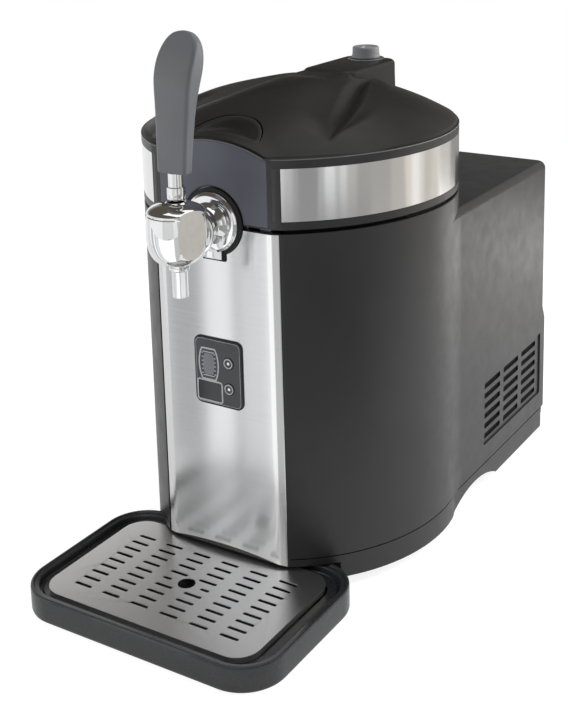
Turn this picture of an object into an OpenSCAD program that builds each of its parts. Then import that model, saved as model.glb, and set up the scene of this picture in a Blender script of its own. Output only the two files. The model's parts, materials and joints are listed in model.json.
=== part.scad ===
// Counter-top cooler and dispenser for a small keg, built from separate pieces.
// Millimetres, +Z up, front towards -Y. The origin is on the table under the middle of the
// whole outline. All modules are written round the drum's axis and moved back by drum_y.

/* [Body] */
// Half width of the drum at its widest line
drum_half = 135; // [130:1:142]
// Radius of each of the two flank arcs that shape the front half of the drum
flank_r = 157; // [154:1:166]
// Distance from the drum's axis to the flat front face
front_y = 136; // [134:1:139]
// Half width of the rear box
box_half = 131; // [124:1:132]
// Distance from the drum's axis to the back wall
box_back = 247; // [240:1:262]
// Height of the flat top of the rear box
box_top = 290; // [282:1:292]
// Height of the drum's rim, where the head begins
body_top = 305; // [303:1:307]
// Height of the seam between shell and base skirt
seam_z = 28; // [26:1:30]
// Wall thickness of the mouldings
wall = 3; // [2.6:0.1:3.2]

/* [Head] */
// Height of the lip round the domed lid
lip_z = 364; // [360:1:368]
// Height of the top of the dome above the table
dome_top = 402.5; // [400:0.5:405]
// Radius of the dome's sphere
dome_r = 262; // [255:1:275]
// Half width of the flat housing behind the dome
housing_half = 27; // [24:1:30]
// Height of the steel band
band_h = 42; // [36:1:44]

/* [Chamber] */
// Inner radius of the keg chamber
chamber_r = 88; // [86.5:0.5:89]
// Height of the chamber floor above the table
chamber_floor = 42; // [40:1:46]

/* [Tray] */
// Half width of the drip tray
tray_half = 119; // [112:1:122]
// Distance from the drum's axis to the front of the tray
tray_front = 265; // [250:1:275]
// Height of the tray's rim
tray_h = 21; // [18:0.5:21]
// Number of slots along each column of the drip grid
slot_rows = 9; // [7:1:10]

/* [Tap] */
// Height of the tap's shank above the table
tap_z = 308; // [307:0.5:309]
// Distance from the drum's axis to the tap's own upright axis
tap_y = 181.5; // [178:0.5:186]
// Radius of the round tap body
tap_r = 22.3; // [21:0.1:23]
// Length of the paddle handle
handle_len = 105; // [95:1:112]

/* [Vents] */
// Number of rows of side vent slots
vent_rows = 6; // [4:1:6]

/* [Hidden] */
$fn = 96;
rear_reach = box_back + 7;
drum_y = (tray_front - rear_reach) / 2;
flank_x = flank_r - drum_half;
edge_x = 61.5;
edge_y = sqrt(flank_r * flank_r - (edge_x + flank_x) * (edge_x + flank_x));
flat_x = 53;
bevel = (front_y - edge_y) / (edge_x - flat_x);
skirt_z = 8;
head_z = body_top + 3;
band_z = head_z + 6.5;
hinge_y = 143.5;
hinge_z = 300;
deck_z = body_top - 5;
fan_z = 165;
pivot_z = tap_z + 18;
steel = [0.78, 0.78, 0.77];
chrome = [0.86, 0.87, 0.88];
black = [0.13, 0.13, 0.14];
grey = [0.24, 0.24, 0.26];
bluegrey = [0.25, 0.26, 0.30];
rubber = [0.07, 0.07, 0.07];

// ---- outlines ----

// front half of the drum in plan, grown by d
module drum_plan(d = 0) {
  intersection() {
    union() {
      intersection() {
        translate([flank_x, 0]) circle(r = flank_r + d, $fn = 180);
        translate([-flank_x, 0]) circle(r = flank_r + d, $fn = 180);
        translate([-200, -400]) square([400, 400]);
      }
      intersection() {
        circle(r = drum_half + d, $fn = 180);
        translate([-200, 0]) square([400, 400]);
      }
    }
    front_cut(d);
  }
}

// flat front with a bevel to each side, as a clipping outline
module front_cut(d = 0) {
  far = 200;
  fy = -front_y - d;
  polygon([[-far, fy + (far - flat_x) * bevel], [-flat_x, fy], [flat_x, fy],
    [far, fy + (far - flat_x) * bevel], [far, far], [-far, far]]);
}

// space in front of the shell and the skirt that the steel panel fills
module panel_seat(z0, z1) {
  intersection() {
    slab(z0, z1) difference() {
      front_cut(6);
      front_cut(-1.1);
    }
    translate([-edge_x - 0.3, -160, z0]) cube([2 * edge_x + 0.6, 60, z1 - z0]);
  }
}

// rectangle with rounded corners, centred in x and running from y0 to y1
module round_box(half, y0, y1, r) {
  translate([-half + r, y0]) square([2 * half - 2 * r, y1 - y0]);
  translate([-half, y0 + r]) square([2 * half, y1 - y0 - 2 * r]);
  for (sx = [-1, 1]) {
    translate([sx * (half - r), y0 + r]) circle(r = r);
    translate([sx * (half - r), y1 - r]) circle(r = r);
  }
}

// rear box in plan, grown by d
module box_plan(d = 0) {
  translate([-box_half - d, 0]) square([2 * box_half + 2 * d, box_back - 10]);
  round_box(box_half + d, 20, box_back + d, 10);
}

// whole body in plan
module body_plan(d = 0) {
  drum_plan(d);
  box_plan(d);
}

// slab of an outline between two heights
module slab(z0, z1) {
  translate([0, 0, z0]) linear_extrude(height = z1 - z0) children();
}

// rod along X, Y or Z from the point given
module rod_x(p, r, l) {
  translate(p) rotate([0, 90, 0]) cylinder(r = r, h = l);
}
module rod_y(p, r, l) {
  translate(p) rotate([-90, 0, 0]) cylinder(r = r, h = l);
}

// upright panel in the plane of the front: outline drawn in x and z, running in +y
module front_plate(y, t) {
  translate([0, y + t, 0]) rotate([90, 0, 0]) linear_extrude(height = t) children();
}

// everything is drawn through this
module placed(c) {
  color(c) translate([0, drum_y, 0]) children();
}

// ---- base ----

// skirt and floor, with side arches and the pocket the tray slides into
module base_plate() {
  placed(black) {
    difference() {
      slab(skirt_z, seam_z) body_plan(0);
      slab(skirt_z + 7, seam_z + 1) body_plan(-wall);
      slab(skirt_z - 1, skirt_z + 4) body_plan(-wall);
      tray_pocket();
      panel_seat(skirt_z - 1, seam_z + 1);
      side_arch();
      cover_holes();
      // floor vents under the heat sink
      for (i = [-4 : 4]) translate([i * 18 - 4, 150, skirt_z]) cube([8, 60, 12]);
      for (sx = [-1, 1]) for (y = [-30, 215]) {
        translate([sx * 95, y, skirt_z]) cylinder(r = 4.1, h = 12);
      }
    }
    difference() {
      intersection() {
        slab(skirt_z, tray_h + 3) body_plan(-1);
        translate([-103.5, -133, skirt_z]) cube([207, 133 - 103, 30]);
      }
      tray_pocket();
    }
  }
}
module tray_pocket() {
  translate([-100.5, -160, skirt_z - 1]) cube([201, 160 - 106, tray_h + 1 - skirt_z + 1]);
}
module side_arch() {
  for (sx = [-1, 1]) translate([sx * 135 - 15, 0, 0]) {
    intersection() {
      rod_x([0, 76, -84], 104, 30);
      translate([-1, 28, 0]) cube([32, 96, 40]);
    }
  }
}

module rubber_feet() {
  placed(rubber)
    for (sx = [-1, 1]) for (y = [-30, 215]) translate([sx * 95, y, 0]) {
      cylinder(r = 11, h = skirt_z + 4);
      cylinder(r = 4, h = skirt_z + 10);
    }
}

// ---- shell ----

module body_shell() {
  placed(black)
    difference() {
      union() {
        difference() {
          slab(seam_z, box_top) body_plan(0);
          slab(seam_z - 1, box_top - wall) body_plan(-wall);
        }
        difference() {
          slab(box_top - wall, body_top) drum_plan(0);
          slab(box_top - wall - 1, body_top + 1) drum_plan(-wall);
        }
      }
      slab(box_top - wall - 1, body_top + 1) drum_plan(-wall);
      panel_seat(seam_z - 1, body_top + 1);
      // notch for the tap and the window for the control board
      translate([-12.5, -150, tap_z - 33]) cube([25, 30, 60]);
      front_plate(-150, 40) translate([-20, 152]) square([40, 56]);
      side_vents();
      cover_holes();
      // opening behind the rear cover
      translate([-112, box_back - 10, seam_z - 1]) cube([224, 20, 87]);
    }
}

// recessed slots, the same on both sides
module side_vents() {
  for (sx = [-1, 1]) {
    translate([sx * box_half - 1.2, 95, 47]) cube([2.4, 139, 65]);
    for (c = [0 : 2]) for (r = [0 : vent_rows - 1])
      translate([sx * box_half - 8, 100 + c * 44, 51.5 + r * 10]) cube([16, 36, 5.5]);
  }
}

module rear_cover() {
  placed(black)
    difference() {
      translate([0, box_back + 6, 0]) rotate([90, 0, 0]) linear_extrude(height = 6)
        round_box(box_half - 5, 12, 122, 6);
      translate([-150, box_back + 6, 112]) rotate([30, 0, 0]) cube([300, 20, 20]);
      for (c = [0 : 2]) for (r = [0 : 5])
        translate([-10 + c * 38, box_back - 1, 34 + r * 12]) cube([30, 10, 5.5]);
      translate([-101, box_back - 1, 28]) cube([32, 10, 24.4]);
      translate([-56, box_back - 1, 30]) cube([13.4, 10, 20]);
      for (sx = [-1, 1]) for (z = [20, 66, 104]) rod_y([sx * 118, box_back - 1, z], 2.1, 9);
    }
}

module cover_holes() {
  for (sx = [-1, 1]) for (z = [20, 66, 104]) rod_y([sx * 118, box_back - 8, z], 2.1, 20);
}

module cover_screws() {
  placed(steel)
    for (sx = [-1, 1]) for (z = [20, 66, 104]) difference() {
      union() {
        rod_y([sx * 118, box_back - 2, z], 1.9, 8);
        rod_y([sx * 118, box_back + 6, z], 3.6, 0.9);
      }
      translate([sx * 118 - 2.2, box_back + 6.5, z - 0.4]) cube([4.4, 1, 0.8]);
      translate([sx * 118 - 0.4, box_back + 6.5, z - 2.2]) cube([0.8, 1, 4.4]);
    }
}

// ---- front ----

module panel_outline() {
  difference() {
    translate([-edge_x, 21.8]) square([2 * edge_x, body_top - 22.8]);
    translate([0, -378.2]) circle(r = 404.7, $fn = 240);
    translate([0, tap_z]) circle(r = 28.2);
    translate([-11, tap_z - 32]) square([22, 30]);
  }
}

// steel sheet with both long edges folded back along the drum
module front_panel() {
  placed(steel)
    difference() {
      intersection() {
        slab(0, body_top) difference() {
          front_cut(0);
          front_cut(-0.9);
        }
        front_plate(-160, 60) panel_outline();
      }
      front_plate(-160, 60) translate([-19, 154]) square([38, 53]);
    }
}

module control_bezel() {
  placed([0.05, 0.05, 0.06])
    difference() {
      union() {
        front_plate(-front_y - 1.6, 1.6) round_box(23.5, 151.5, 210, 6);
        for (p = [[-15, 176], [-15, 203.5], [15, 158], [15, 203.5]])
          rod_y([p[0], -front_y, p[1]], 1.6, 6.6);
      }
      front_plate(-front_y - 3, 5) window_hole(0.3);
      for (z = [168.5, 190.7]) rod_y([10.6, -front_y - 3, z], 4.7, 6);
      front_plate(-front_y - 1.7, 0.5) level_symbol();
    }
}
module window_hole(d) {
  translate([-20.8 - d, 154.8 - d]) square([23.6 + 2 * d, 17.2 + 2 * d]);
}
// a plain barrel outline engraved in the bezel
module level_symbol() {
  difference() {
    translate([-17, 175.5]) square([15.6, 24.5]);
    translate([-15.8, 176.7]) square([13.2, 22.1]);
  }
  for (i = [0 : 3]) translate([-14.2, 178.6 + i * 5]) square([10, 3]);
}

module display_window() {
  placed([0.10, 0.11, 0.12, 0.9]) front_plate(-front_y - 1.25, 1.2) window_hole(0);
}

module control_button(z) {
  rod_y([10.6, -front_y - 2.6, z], 4.4, 2.6);
  rod_y([10.6, -front_y, z], 2.2, 4.2);
}
module button_up() {
  placed([0.16, 0.16, 0.17]) control_button(190.7);
}
module button_down() {
  placed([0.16, 0.16, 0.17]) control_button(168.5);
}

module control_board() {
  placed([0.06, 0.24, 0.14]) {
    translate([-17, -front_y + 6.6, 156]) cube([34, 1.6, 50]);
    translate([-17, -front_y + 1.6, 156]) cube([18, 5, 15]);
    for (z = [168.5, 190.7]) translate([7.4, -front_y + 5.6, z - 3.2]) cube([6.4, 1, 6.4]);
    translate([-10, -front_y + 8.2, 180]) cube([20, 5, 12]);
  }
}

// ---- chamber and cooling ----

module chamber_liner() {
  placed([0.80, 0.81, 0.83])
    rotate_extrude($fn = 120) {
      translate([0, chamber_floor - 1.5]) square([chamber_r + 1.5, 1.5]);
      translate([chamber_r, chamber_floor]) square([1.5, deck_z - chamber_floor]);
      translate([chamber_r, deck_z]) square([6, 1.2]);
    }
}

// rigid foam in three blocks: the front half and the rear half of the wall, and the floor
module foam_wall(y0, y1) {
  difference() {
    intersection() {
      slab(chamber_floor - 1.7, deck_z - 6) drum_plan(-wall - 0.5);
      translate([-150, y0, 0]) cube([300, y1 - y0, 400]);
    }
    translate([0, 0, chamber_floor - 5]) cylinder(r = chamber_r + 1.8, h = 300, $fn = 120);
  }
}
module foam_front() {
  placed([0.93, 0.92, 0.86])
    difference() {
      foam_wall(-129, 0);
      translate([-30, -140, 146]) cube([60, 30, 70]);
      translate([-34, -140, tap_z - 50]) cube([68, 34, 60]);
    }
}
module foam_rear() {
  placed([0.93, 0.92, 0.86])
    difference() {
      foam_wall(0, 101);
      translate([-31, 60, fan_z - 31]) cube([62, 60, 62]);
    }
}
module foam_floor() {
  placed([0.93, 0.92, 0.86])
    difference() {
      intersection() {
        slab(skirt_z + 7, chamber_floor - 1.7) drum_plan(-wall - 0.5);
        translate([-112, -101, 0]) cube([224, 202, 60]);
      }
      for (sx = [-1, 1]) translate([sx * 95, -30, 0]) cylinder(r = 5, h = skirt_z + 13);
    }
}

module deck_ring() {
  placed(grey)
    difference() {
      slab(deck_z - 6, deck_z) drum_plan(-wall - 0.2);
      translate([0, 0, deck_z - 7]) cylinder(r = chamber_r + 1.7, h = 10, $fn = 120);
      translate([-34, -140, deck_z - 7]) cube([68, 36, 10]);
      translate([38, -140, deck_z - 7]) cube([14, 20, 10]);
    }
}

module cold_block() {
  placed([0.72, 0.73, 0.75])
    difference() {
      translate([-30, 70, fan_z - 30]) cube([60, 46, 60]);
      translate([0, 0, fan_z - 40]) cylinder(r = chamber_r + 1.6, h = 80, $fn = 120);
    }
}

module peltier_module() {
  placed([0.92, 0.92, 0.90]) {
    translate([-20, 116, fan_z - 20]) cube([40, 4, 40]);
  }
}

module heat_sink() {
  placed([0.60, 0.61, 0.63]) {
    translate([-52, 120, fan_z - 50]) cube([104, 6, 100]);
    for (i = [-6 : 6]) translate([i * 8 - 1, 126, fan_z - 50]) cube([2, 25.8, 100]);
  }
}

module fan_frame() {
  placed(black)
    difference() {
      union() {
        difference() {
          translate([-46, 152, fan_z - 46]) cube([92, 25, 92]);
          rod_y([0, 151, fan_z], 42.5, 27);
        }
        for (a = [45, 135]) translate([0, 173, fan_z]) rotate([0, a, 0])
          translate([-43.6, 0, -2]) cube([87.2, 3.4, 4]);
        rod_y([0, 172.6, fan_z], 14.7, 4.1);
      }
      for (sx = [-1, 1]) for (sz = [-1, 1])
        rod_y([sx * 41, 150, fan_z + sz * 41], 2.1, 30);
      rod_y([0, 170, fan_z], 2.05, 10);
    }
}

module fan_rotor() {
  placed([0.10, 0.10, 0.11]) {
    rod_y([0, 154, fan_z], 14, 17.5);
    rod_y([0, 171, fan_z], 2, 5);
    intersection() {
      rod_y([0, 154, fan_z], 40, 16);
      for (i = [0 : 6]) translate([0, 162, fan_z]) rotate([0, i * 360 / 7, 0])
        rotate([38, 0, 0]) translate([12, -9.5, -0.9]) cube([32, 19, 1.8]);
    }
  }
}

module power_supply() {
  placed([0.70, 0.71, 0.72])
    difference() {
      translate([15, 188, skirt_z + 7]) cube([98, 46, 85]);
      for (i = [0 : 5]) translate([24 + i * 15, 187, skirt_z + 26]) cube([7, 60, 50]);
      translate([17, 190, skirt_z - 8]) cube([94, 42, 98]);
    }
}

module mains_inlet() {
  placed([0.09, 0.09, 0.10])
    difference() {
      union() {
        translate([-105, box_back + 6, 26]) cube([40, 1, 28.4]);
        translate([-100.8, box_back - 22, 28.2]) cube([31.6, 28, 24]);
      }
      translate([-97.5, box_back - 12, 31.5]) cube([25, 30, 17.4]);
    }
}

module rocker_frame() {
  placed([0.09, 0.09, 0.10])
    difference() {
      union() {
        translate([-58, box_back + 6, 28]) cube([17.4, 0.6, 24]);
        translate([-55.8, box_back - 14, 30.2]) cube([13, 20, 19.6]);
      }
      translate([-54, box_back - 9, 31.5]) cube([9.4, 20, 17]);
    }
}

module rocker_switch() {
  placed([0.62, 0.10, 0.08])
    intersection() {
      rod_x([-53.6, box_back + 1, 40], 7.4, 8.6);
      translate([-60, box_back - 6, 30]) cube([20, 12.6, 20]);
    }
}

// ---- head ----

module dome_solid(d = 0) {
  intersection() {
    translate([0, 0, dome_top - dome_r]) sphere(r = dome_r + d, $fn = 240);
    slab(lip_z - 8, 440) drum_plan(d - 1.5);
  }
}
// raised arch over the front of the dome, meeting the fascia
module visor_solid(d = 0) {
  intersection() {
    translate([0, -front_y, 374 - 118]) rotate([-80.5, 0, 0])
      translate([0, 0, -40]) cylinder(r = 118 + d, h = 90, $fn = 180);
    translate([-60 - d, -front_y - d + 1.5, lip_z - 8]) cube([120 + 2 * d, 70, 60]);
    slab(lip_z - 10, 440) drum_plan(d - 1.5);
  }
}
module housing_plan(d = 0) {
  round_box(housing_half + d, 10, 128 + d, 12);
}
module housing_solid(d = 0) {
  slab(lip_z - 8, dome_top + d) housing_plan(d);
}

module lid_shell() {
  placed([0.10, 0.10, 0.11])
    difference() {
      union() {
        difference() {
          union() {
            dome_solid(0);
            visor_solid(0);
            housing_solid(0);
          }
          slab(lip_z - 9, lip_z) union() {
            drum_plan(-6);
          }
          dome_solid(-wall);
          visor_solid(-wall);
          housing_solid(-wall);
        }
      }
      slab(lip_z - 20, lip_z) translate([-200, -200]) square([400, 400]);
      slab(lip_z - 20, 420) button_plan(0.6);
      translate([0, 112, 390]) cylinder(r = 5.3, h = 20);
    }
}

// half-moon outline of the release button
module button_plan(d) {
  intersection() {
    translate([0, -front_y + 8]) circle(r = 36 + d);
    translate([-50, -front_y + 12 - d]) square([100, 60]);
  }
}

module release_button() {
  placed([0.12, 0.12, 0.13])
    difference() {
      intersection() {
        union() {
          translate([0, 0, dome_top - dome_r]) sphere(r = dome_r - 1.2, $fn = 240);
          visor_core();
        }
        slab(lip_z + 4, 420) button_plan(0);
      }
      // finger scoop
      translate([0, -front_y + 36, 418]) sphere(r = 42, $fn = 96);
    }
}
module visor_core() {
  translate([0, -front_y, 374 - 118]) rotate([-80.5, 0, 0])
    translate([0, 0, -40]) cylinder(r = 116.8, h = 90, $fn = 180);
}

module latch_slide() {
  placed([0.75, 0.75, 0.76]) {
    translate([40, -front_y + 6, deck_z - 5]) cube([10, 2.5, 62]);
    translate([40, -front_y + 6, deck_z - 5]) cube([10, 6, 3]);
    translate([36, -front_y + 6, lip_z - 8]) cube([18, 8, 2.5]);
  }
}

// ring under the lid, with the flat fascia across the front
module head_ring() {
  placed(bluegrey)
    difference() {
      union() {
        difference() {
          slab(head_z, lip_z) drum_plan(0);
          slab(head_z - 1, lip_z + 1) drum_plan(-wall);
        }
        // bottom flange
        difference() {
          slab(head_z, head_z + 3) drum_plan(-1);
          slab(head_z - 1, head_z + 4) drum_plan(-22);
        }
        // fascia rising to an arch
        intersection() {
          slab(head_z, 374) difference() {
            drum_plan(0);
            drum_plan(-1.4);
          }
          front_plate(-160, 60) intersection() {
            translate([0, 374 - 118]) circle(r = 118, $fn = 180);
            translate([-edge_x, head_z]) square([2 * edge_x, 80]);
          }
        }
      }
      // seat for the steel band, ending at the margins of the fascia
      difference() {
        slab(band_z - 0.3, band_z + band_h + 0.3) difference() {
          drum_plan(5);
          drum_plan(-1.1);
        }
        translate([-edge_x - 0.2, -200, 0]) cube([2 * edge_x + 0.4, 200, 500]);
        translate([-32, 100, 0]) cube([64, 100, 500]);
      }
      // round cut-out over the tap
      rod_y([0, -160, tap_z], 28.5, 60);
      translate([-28.5, -160, tap_z - 20]) cube([57, 60, 20]);
      translate([-34, -133, head_z - 1]) cube([68, 40, 5]);
      // way for the latch
      translate([35, -front_y + wall + 0.5, head_z - 1]) cube([20, 14, 6]);
    }
}

module steel_band_half() {
  difference() {
    slab(band_z, band_z + band_h) difference() {
      drum_plan(-0.1);
      drum_plan(-0.9);
    }
    translate([-200, -200, 0]) cube([200 + edge_x + 0.5, 200, 500]);
    translate([-200, -1, 0]) cube([232.5, 300, 500]);
  }
}
module steel_band_right() {
  placed(steel) steel_band_half();
}
module steel_band_left() {
  placed(steel) mirror([1, 0, 0]) steel_band_half();
}

module lid_lining() {
  placed([0.20, 0.20, 0.21])
    difference() {
      slab(head_z + 22, head_z + 24.5) drum_plan(-wall - 0.4);
      translate([33, -140, head_z + 20]) cube([24, 20, 10]);
      translate([-34, -140, head_z + 20]) cube([68, 14, 10]);
      translate([0, 112, head_z + 10]) cylinder(r = 9.5, h = 30);
    }
}

module lid_foam() {
  placed([0.93, 0.92, 0.86])
    difference() {
      slab(head_z + 24.6, lip_z - 2) drum_plan(-wall - 6);
      translate([-60, -140, head_z]) cube([120, 36, 80]);
      translate([0, 112, head_z + 10]) cylinder(r = 19, h = 80);
    }
}

module lid_gasket() {
  placed(rubber)
    difference() {
      slab(deck_z + 1.6, head_z) drum_plan(-13);
      slab(deck_z - 1, head_z + 1) drum_plan(-20);
      translate([-36, -140, deck_z - 1]) cube([72, 40, 10]);
      translate([34, -140, deck_z - 1]) cube([22, 24, 10]);
    }
}

module pressure_regulator() {
  placed([0.75, 0.62, 0.32])
    difference() {
      union() {
        translate([0, 112, head_z + 14]) cylinder(r = 9, h = 24);
        translate([0, 112, head_z + 38]) cylinder(r = 12, h = 36);
        translate([0, 112, head_z + 74]) cylinder(r = 9, h = 14);
      }
      translate([0, 112, head_z + 13]) cylinder(r = 3.5, h = 40);
      translate([0, 112, head_z + 80]) cylinder(r = 4.05, h = 10);
    }
}

module knob_washer() {
  placed([0.55, 0.56, 0.57])
    translate([0, 112, dome_top]) difference() {
      cylinder(r = 17, h = 1);
      translate([0, 0, -1]) cylinder(r = 5.3, h = 3);
    }
}

module regulator_knob() {
  placed([0.36, 0.37, 0.38])
    translate([0, 112, dome_top + 1.4]) difference() {
      union() {
        cylinder(r = 14.6, h = 9.4);
        translate([0, 0, 9.4]) cylinder(r = 13.6, h = 1);
        translate([0, 0, -13]) cylinder(r = 4, h = 13);
        for (a = [0 : 15 : 359]) rotate([0, 0, a]) translate([14.4, 0, 0.6])
          cylinder(r = 0.9, h = 8);
      }
      translate([-0.6, -13, 9.9]) cube([1.2, 9, 2]);
    }
}

// ---- hinge ----

module hinge_bracket() {
  placed([0.55, 0.56, 0.58])
    difference() {
      union() {
        translate([-50, hinge_y - 5, box_top]) cube([100, 16, 1.8]);
        for (sx = [-1, 1]) {
          translate([sx * 43 - 4, hinge_y - 5, box_top + 1]) cube([8, 12, hinge_z - box_top - 1]);
          rod_x([sx * 43 - 4, hinge_y, hinge_z], 6, 8);
        }
      }
      rod_x([-60, hinge_y, hinge_z], 3.05, 120);
    }
}

module hinge_pin() {
  placed([0.80, 0.80, 0.80]) {
    rod_x([-48.5, hinge_y, hinge_z], 3, 97);
    rod_x([-50.5, hinge_y, hinge_z], 4.4, 2);
    rod_x([48.5, hinge_y, hinge_z], 4.4, 2);
  }
}

module hinge_arms() {
  placed([0.10, 0.10, 0.11])
    difference() {
      union() {
        for (sx = [-1, 1]) {
          rod_x([sx * 31 - 6, hinge_y, hinge_z], 6.4, 12);
          translate([sx * 31 - 6, hinge_y - 6.4, hinge_z]) cube([12, 12.8, 14]);
          translate([sx * 31 - 6, 125, head_z + 3.2]) cube([12, hinge_y + 6.4 - 125, 8]);
        }
      }
      rod_x([-60, hinge_y, hinge_z], 3.06, 120);
      slab(0, 500) drum_plan(0.1);
    }
}

// ---- tap ----

module tap_plate() {
  placed([0.55, 0.56, 0.58])
    difference() {
      front_plate(-front_y + 4.7, 2) union() {
        translate([-30, tap_z - 46]) square([60, 46]);
        translate([0, tap_z]) circle(r = 30);
      }
      rod_y([0, -150, tap_z], 9.7, 60);
    }
}

module tap_gasket() {
  placed(rubber)
    difference() {
      union() {
        rod_y([0, -front_y - 1.6, tap_z], 27.6, 2.6);
        translate([-10.6, -front_y - 1.6, tap_z - 31.6]) cube([21.2, 2.6, 31]);
      }
      rod_y([0, -150, tap_z], 9.7, 60);
      translate([-9.3, -150, tap_z - 30.3]) cube([18.6, 60, 21]);
    }
}

module tap_flange() {
  placed(chrome)
    difference() {
      union() {
        rod_y([0, -front_y - 3.8, tap_z], 24.6, 2.2);
        rod_y([0, -front_y - 5, tap_z], 22.6, 1.2);
        translate([0, -front_y - 5, tap_z]) rotate([90, 0, 0]) cylinder(r1 = 19, r2 = 12.4, h = 6);
        translate([-9, -front_y - 3.8, tap_z - 30]) cube([18, 4.8, 20]);
      }
      rod_y([0, -170, tap_z], 9.7, 90);
    }
}

module tap_shank() {
  placed(chrome)
    difference() {
      union() {
        rod_y([0, -tap_y + 22, tap_z], 9.5, 52);
        rod_y([0, -108, tap_z], 6.3, 12);
        rod_x([0, -101, tap_z], 6.3, 13.8);
        rod_y([0, -front_y + 7, tap_z], 15, 8);
      }
      rod_y([0, -190, tap_z], 4, 92);
      rod_x([0, -101, tap_z], 4, 30);
    }
}

module tap_nut() {
  placed(chrome)
    difference() {
      union() {
        rod_y([0, -tap_y + 18.4, tap_z], 20.4, 3.4);
        rod_y([0, -tap_y + 21.8, tap_z], 16.5, 9.2);
      }
      rod_y([0, -190, tap_z], 9.6, 80);
    }
}

module tap_body() {
  placed(chrome)
    difference() {
      union() {
        intersection() {
          translate([0, -tap_y, 280]) cylinder(r = tap_r, h = tap_z + 19 - 280);
          translate([0, -tap_y, tap_z + 1.5]) sphere(r = 27.5, $fn = 120);
          translate([-17.8, -tap_y - 40, 270]) cube([35.6, 58.1, 80]);
        }
        intersection() {
          rod_y([0, -tap_y, tap_z - 1], 19.4, 18.2);
          translate([-17.8, -tap_y - 40, 270]) cube([35.6, 58.1, 80]);
        }
      }
      translate([0, -tap_y, 270]) cylinder(r = 6.05, h = 70);
      rod_y([0, -tap_y, tap_z], 4, 60);
    }
}

module tap_cap() {
  placed(chrome)
    difference() {
      union() {
        translate([0, -tap_y, tap_z + 19]) cylinder(r = 20.6, h = 1.4);
        intersection() {
          translate([0, -tap_y, tap_z + 20.4]) cylinder(r = 21.4, h = 20);
          translate([0, -tap_y, tap_z + 26.8 - 46]) sphere(r = 46, $fn = 180);
        }
        translate([0, -tap_y, tap_z + 25]) cylinder(r = 7.7, h = 2.6);
      }
      translate([0, -tap_y, tap_z + 18]) cylinder(r = 6.6, h = 12);
      translate([0, -tap_y, tap_z + 18]) cylinder(r = 9, h = 4.5);
      rod_y([0, -tap_y + 18, tap_z], 20.7, 20);
    }
}

module tap_spout() {
  placed(chrome)
    difference() {
      union() {
        translate([0, -tap_y, 278.6]) cylinder(r = 8.2, h = 3.9);
        translate([0, -tap_y, 276.9]) cylinder(r = 7.4, h = 1.7);
        translate([0, -tap_y, 260]) cylinder(r = 6.4, h = 17);
        translate([0, -tap_y, 282]) cylinder(r = 5.95, h = 6);
      }
      translate([0, -tap_y, 259]) cylinder(r = 4.6, h = 40);
    }
}

module valve_spindle() {
  placed([0.72, 0.73, 0.75])
    translate([0, -tap_y, 292.5]) {
      cylinder(r = 6, h = 9);
      cylinder(r = 3.4, h = 27);
    }
}

module tap_lever() {
  placed(chrome)
    translate([0, -tap_y, 0]) {
      translate([0, 0, pivot_z]) sphere(r = 4.2, $fn = 48);
      rod_x([-5.3, 0, pivot_z], 1.9, 10.6);
      translate([0, 0, pivot_z]) cylinder(r = 2.8, h = 14);
      translate([0, 0, pivot_z + 12.3]) cylinder(r1 = 4.4, r2 = 6.8, h = 2);
      translate([0, 0, pivot_z + 14.3]) cylinder(r = 6.8, h = 6.7);
      translate([0, 0, pivot_z + 21]) cylinder(r = 5.7, h = 10.9);
      translate([0, 0, pivot_z + 31]) cylinder(r = 3.6, h = 17);
    }
}

// paddle: front outline crossed with a side outline that leans back
module tap_handle() {
  placed([0.27, 0.28, 0.30])
    difference() {
      intersection() {
        translate([0, -tap_y + 60, 0]) rotate([90, 0, 0]) linear_extrude(height = 120)
          handle_front();
        translate([-40, -tap_y, 0]) rotate([90, 0, 90]) linear_extrude(height = 80)
          handle_side();
      }
      translate([0, -tap_y, pivot_z + 20]) cylinder(r = 3.7, h = 30);
    }
}
module handle_front() {
  z0 = pivot_z + 32;
  zt = z0 + handle_len;
  translate([0, zt - 17]) circle(r = 17);
  polygon([[-12.5, z0], [12.5, z0], [14.6, z0 + 44], [17, zt - 20], [17, zt - 17],
    [-17, zt - 17], [-17, zt - 20], [-14.6, z0 + 44]]);
}
module handle_side() {
  z0 = pivot_z + 32;
  zt = z0 + handle_len;
  polygon([[-5.8, z0], [4.6, z0], [6.8, z0 + 24], [9, z0 + 43], [11.8, z0 + 57],
    [16.2, zt - 32], [18.6, zt - 23], [19.4, zt - 14], [19.2, zt], [14.5, zt],
    [10.6, zt - 7], [6.7, zt - 16], [2.8, zt - 23.5], [-0.6, zt - 32], [-2.4, z0 + 57],
    [-3.2, z0 + 43], [-4.3, z0 + 24]]);
}

// ---- drip tray ----

module tray_plan(d) {
  round_box(tray_half + d, -tray_front - d, -109 + d, 36 + d);
}
module drip_tray() {
  placed([0.07, 0.07, 0.08])
    difference() {
      slab(0, tray_h) tray_plan(0);
      slab(2.4, tray_h - 6) tray_plan(-18);
      slab(tray_h - 6.1, tray_h + 1) tray_plan(-7);
      slab(tray_h - 1.2, tray_h + 1) tray_plan(-3);
      slab(2.4, tray_h - 4) tray_plan(-20);
      slab(-1, 0.8) tray_plan(-6);
    }
}

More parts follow.
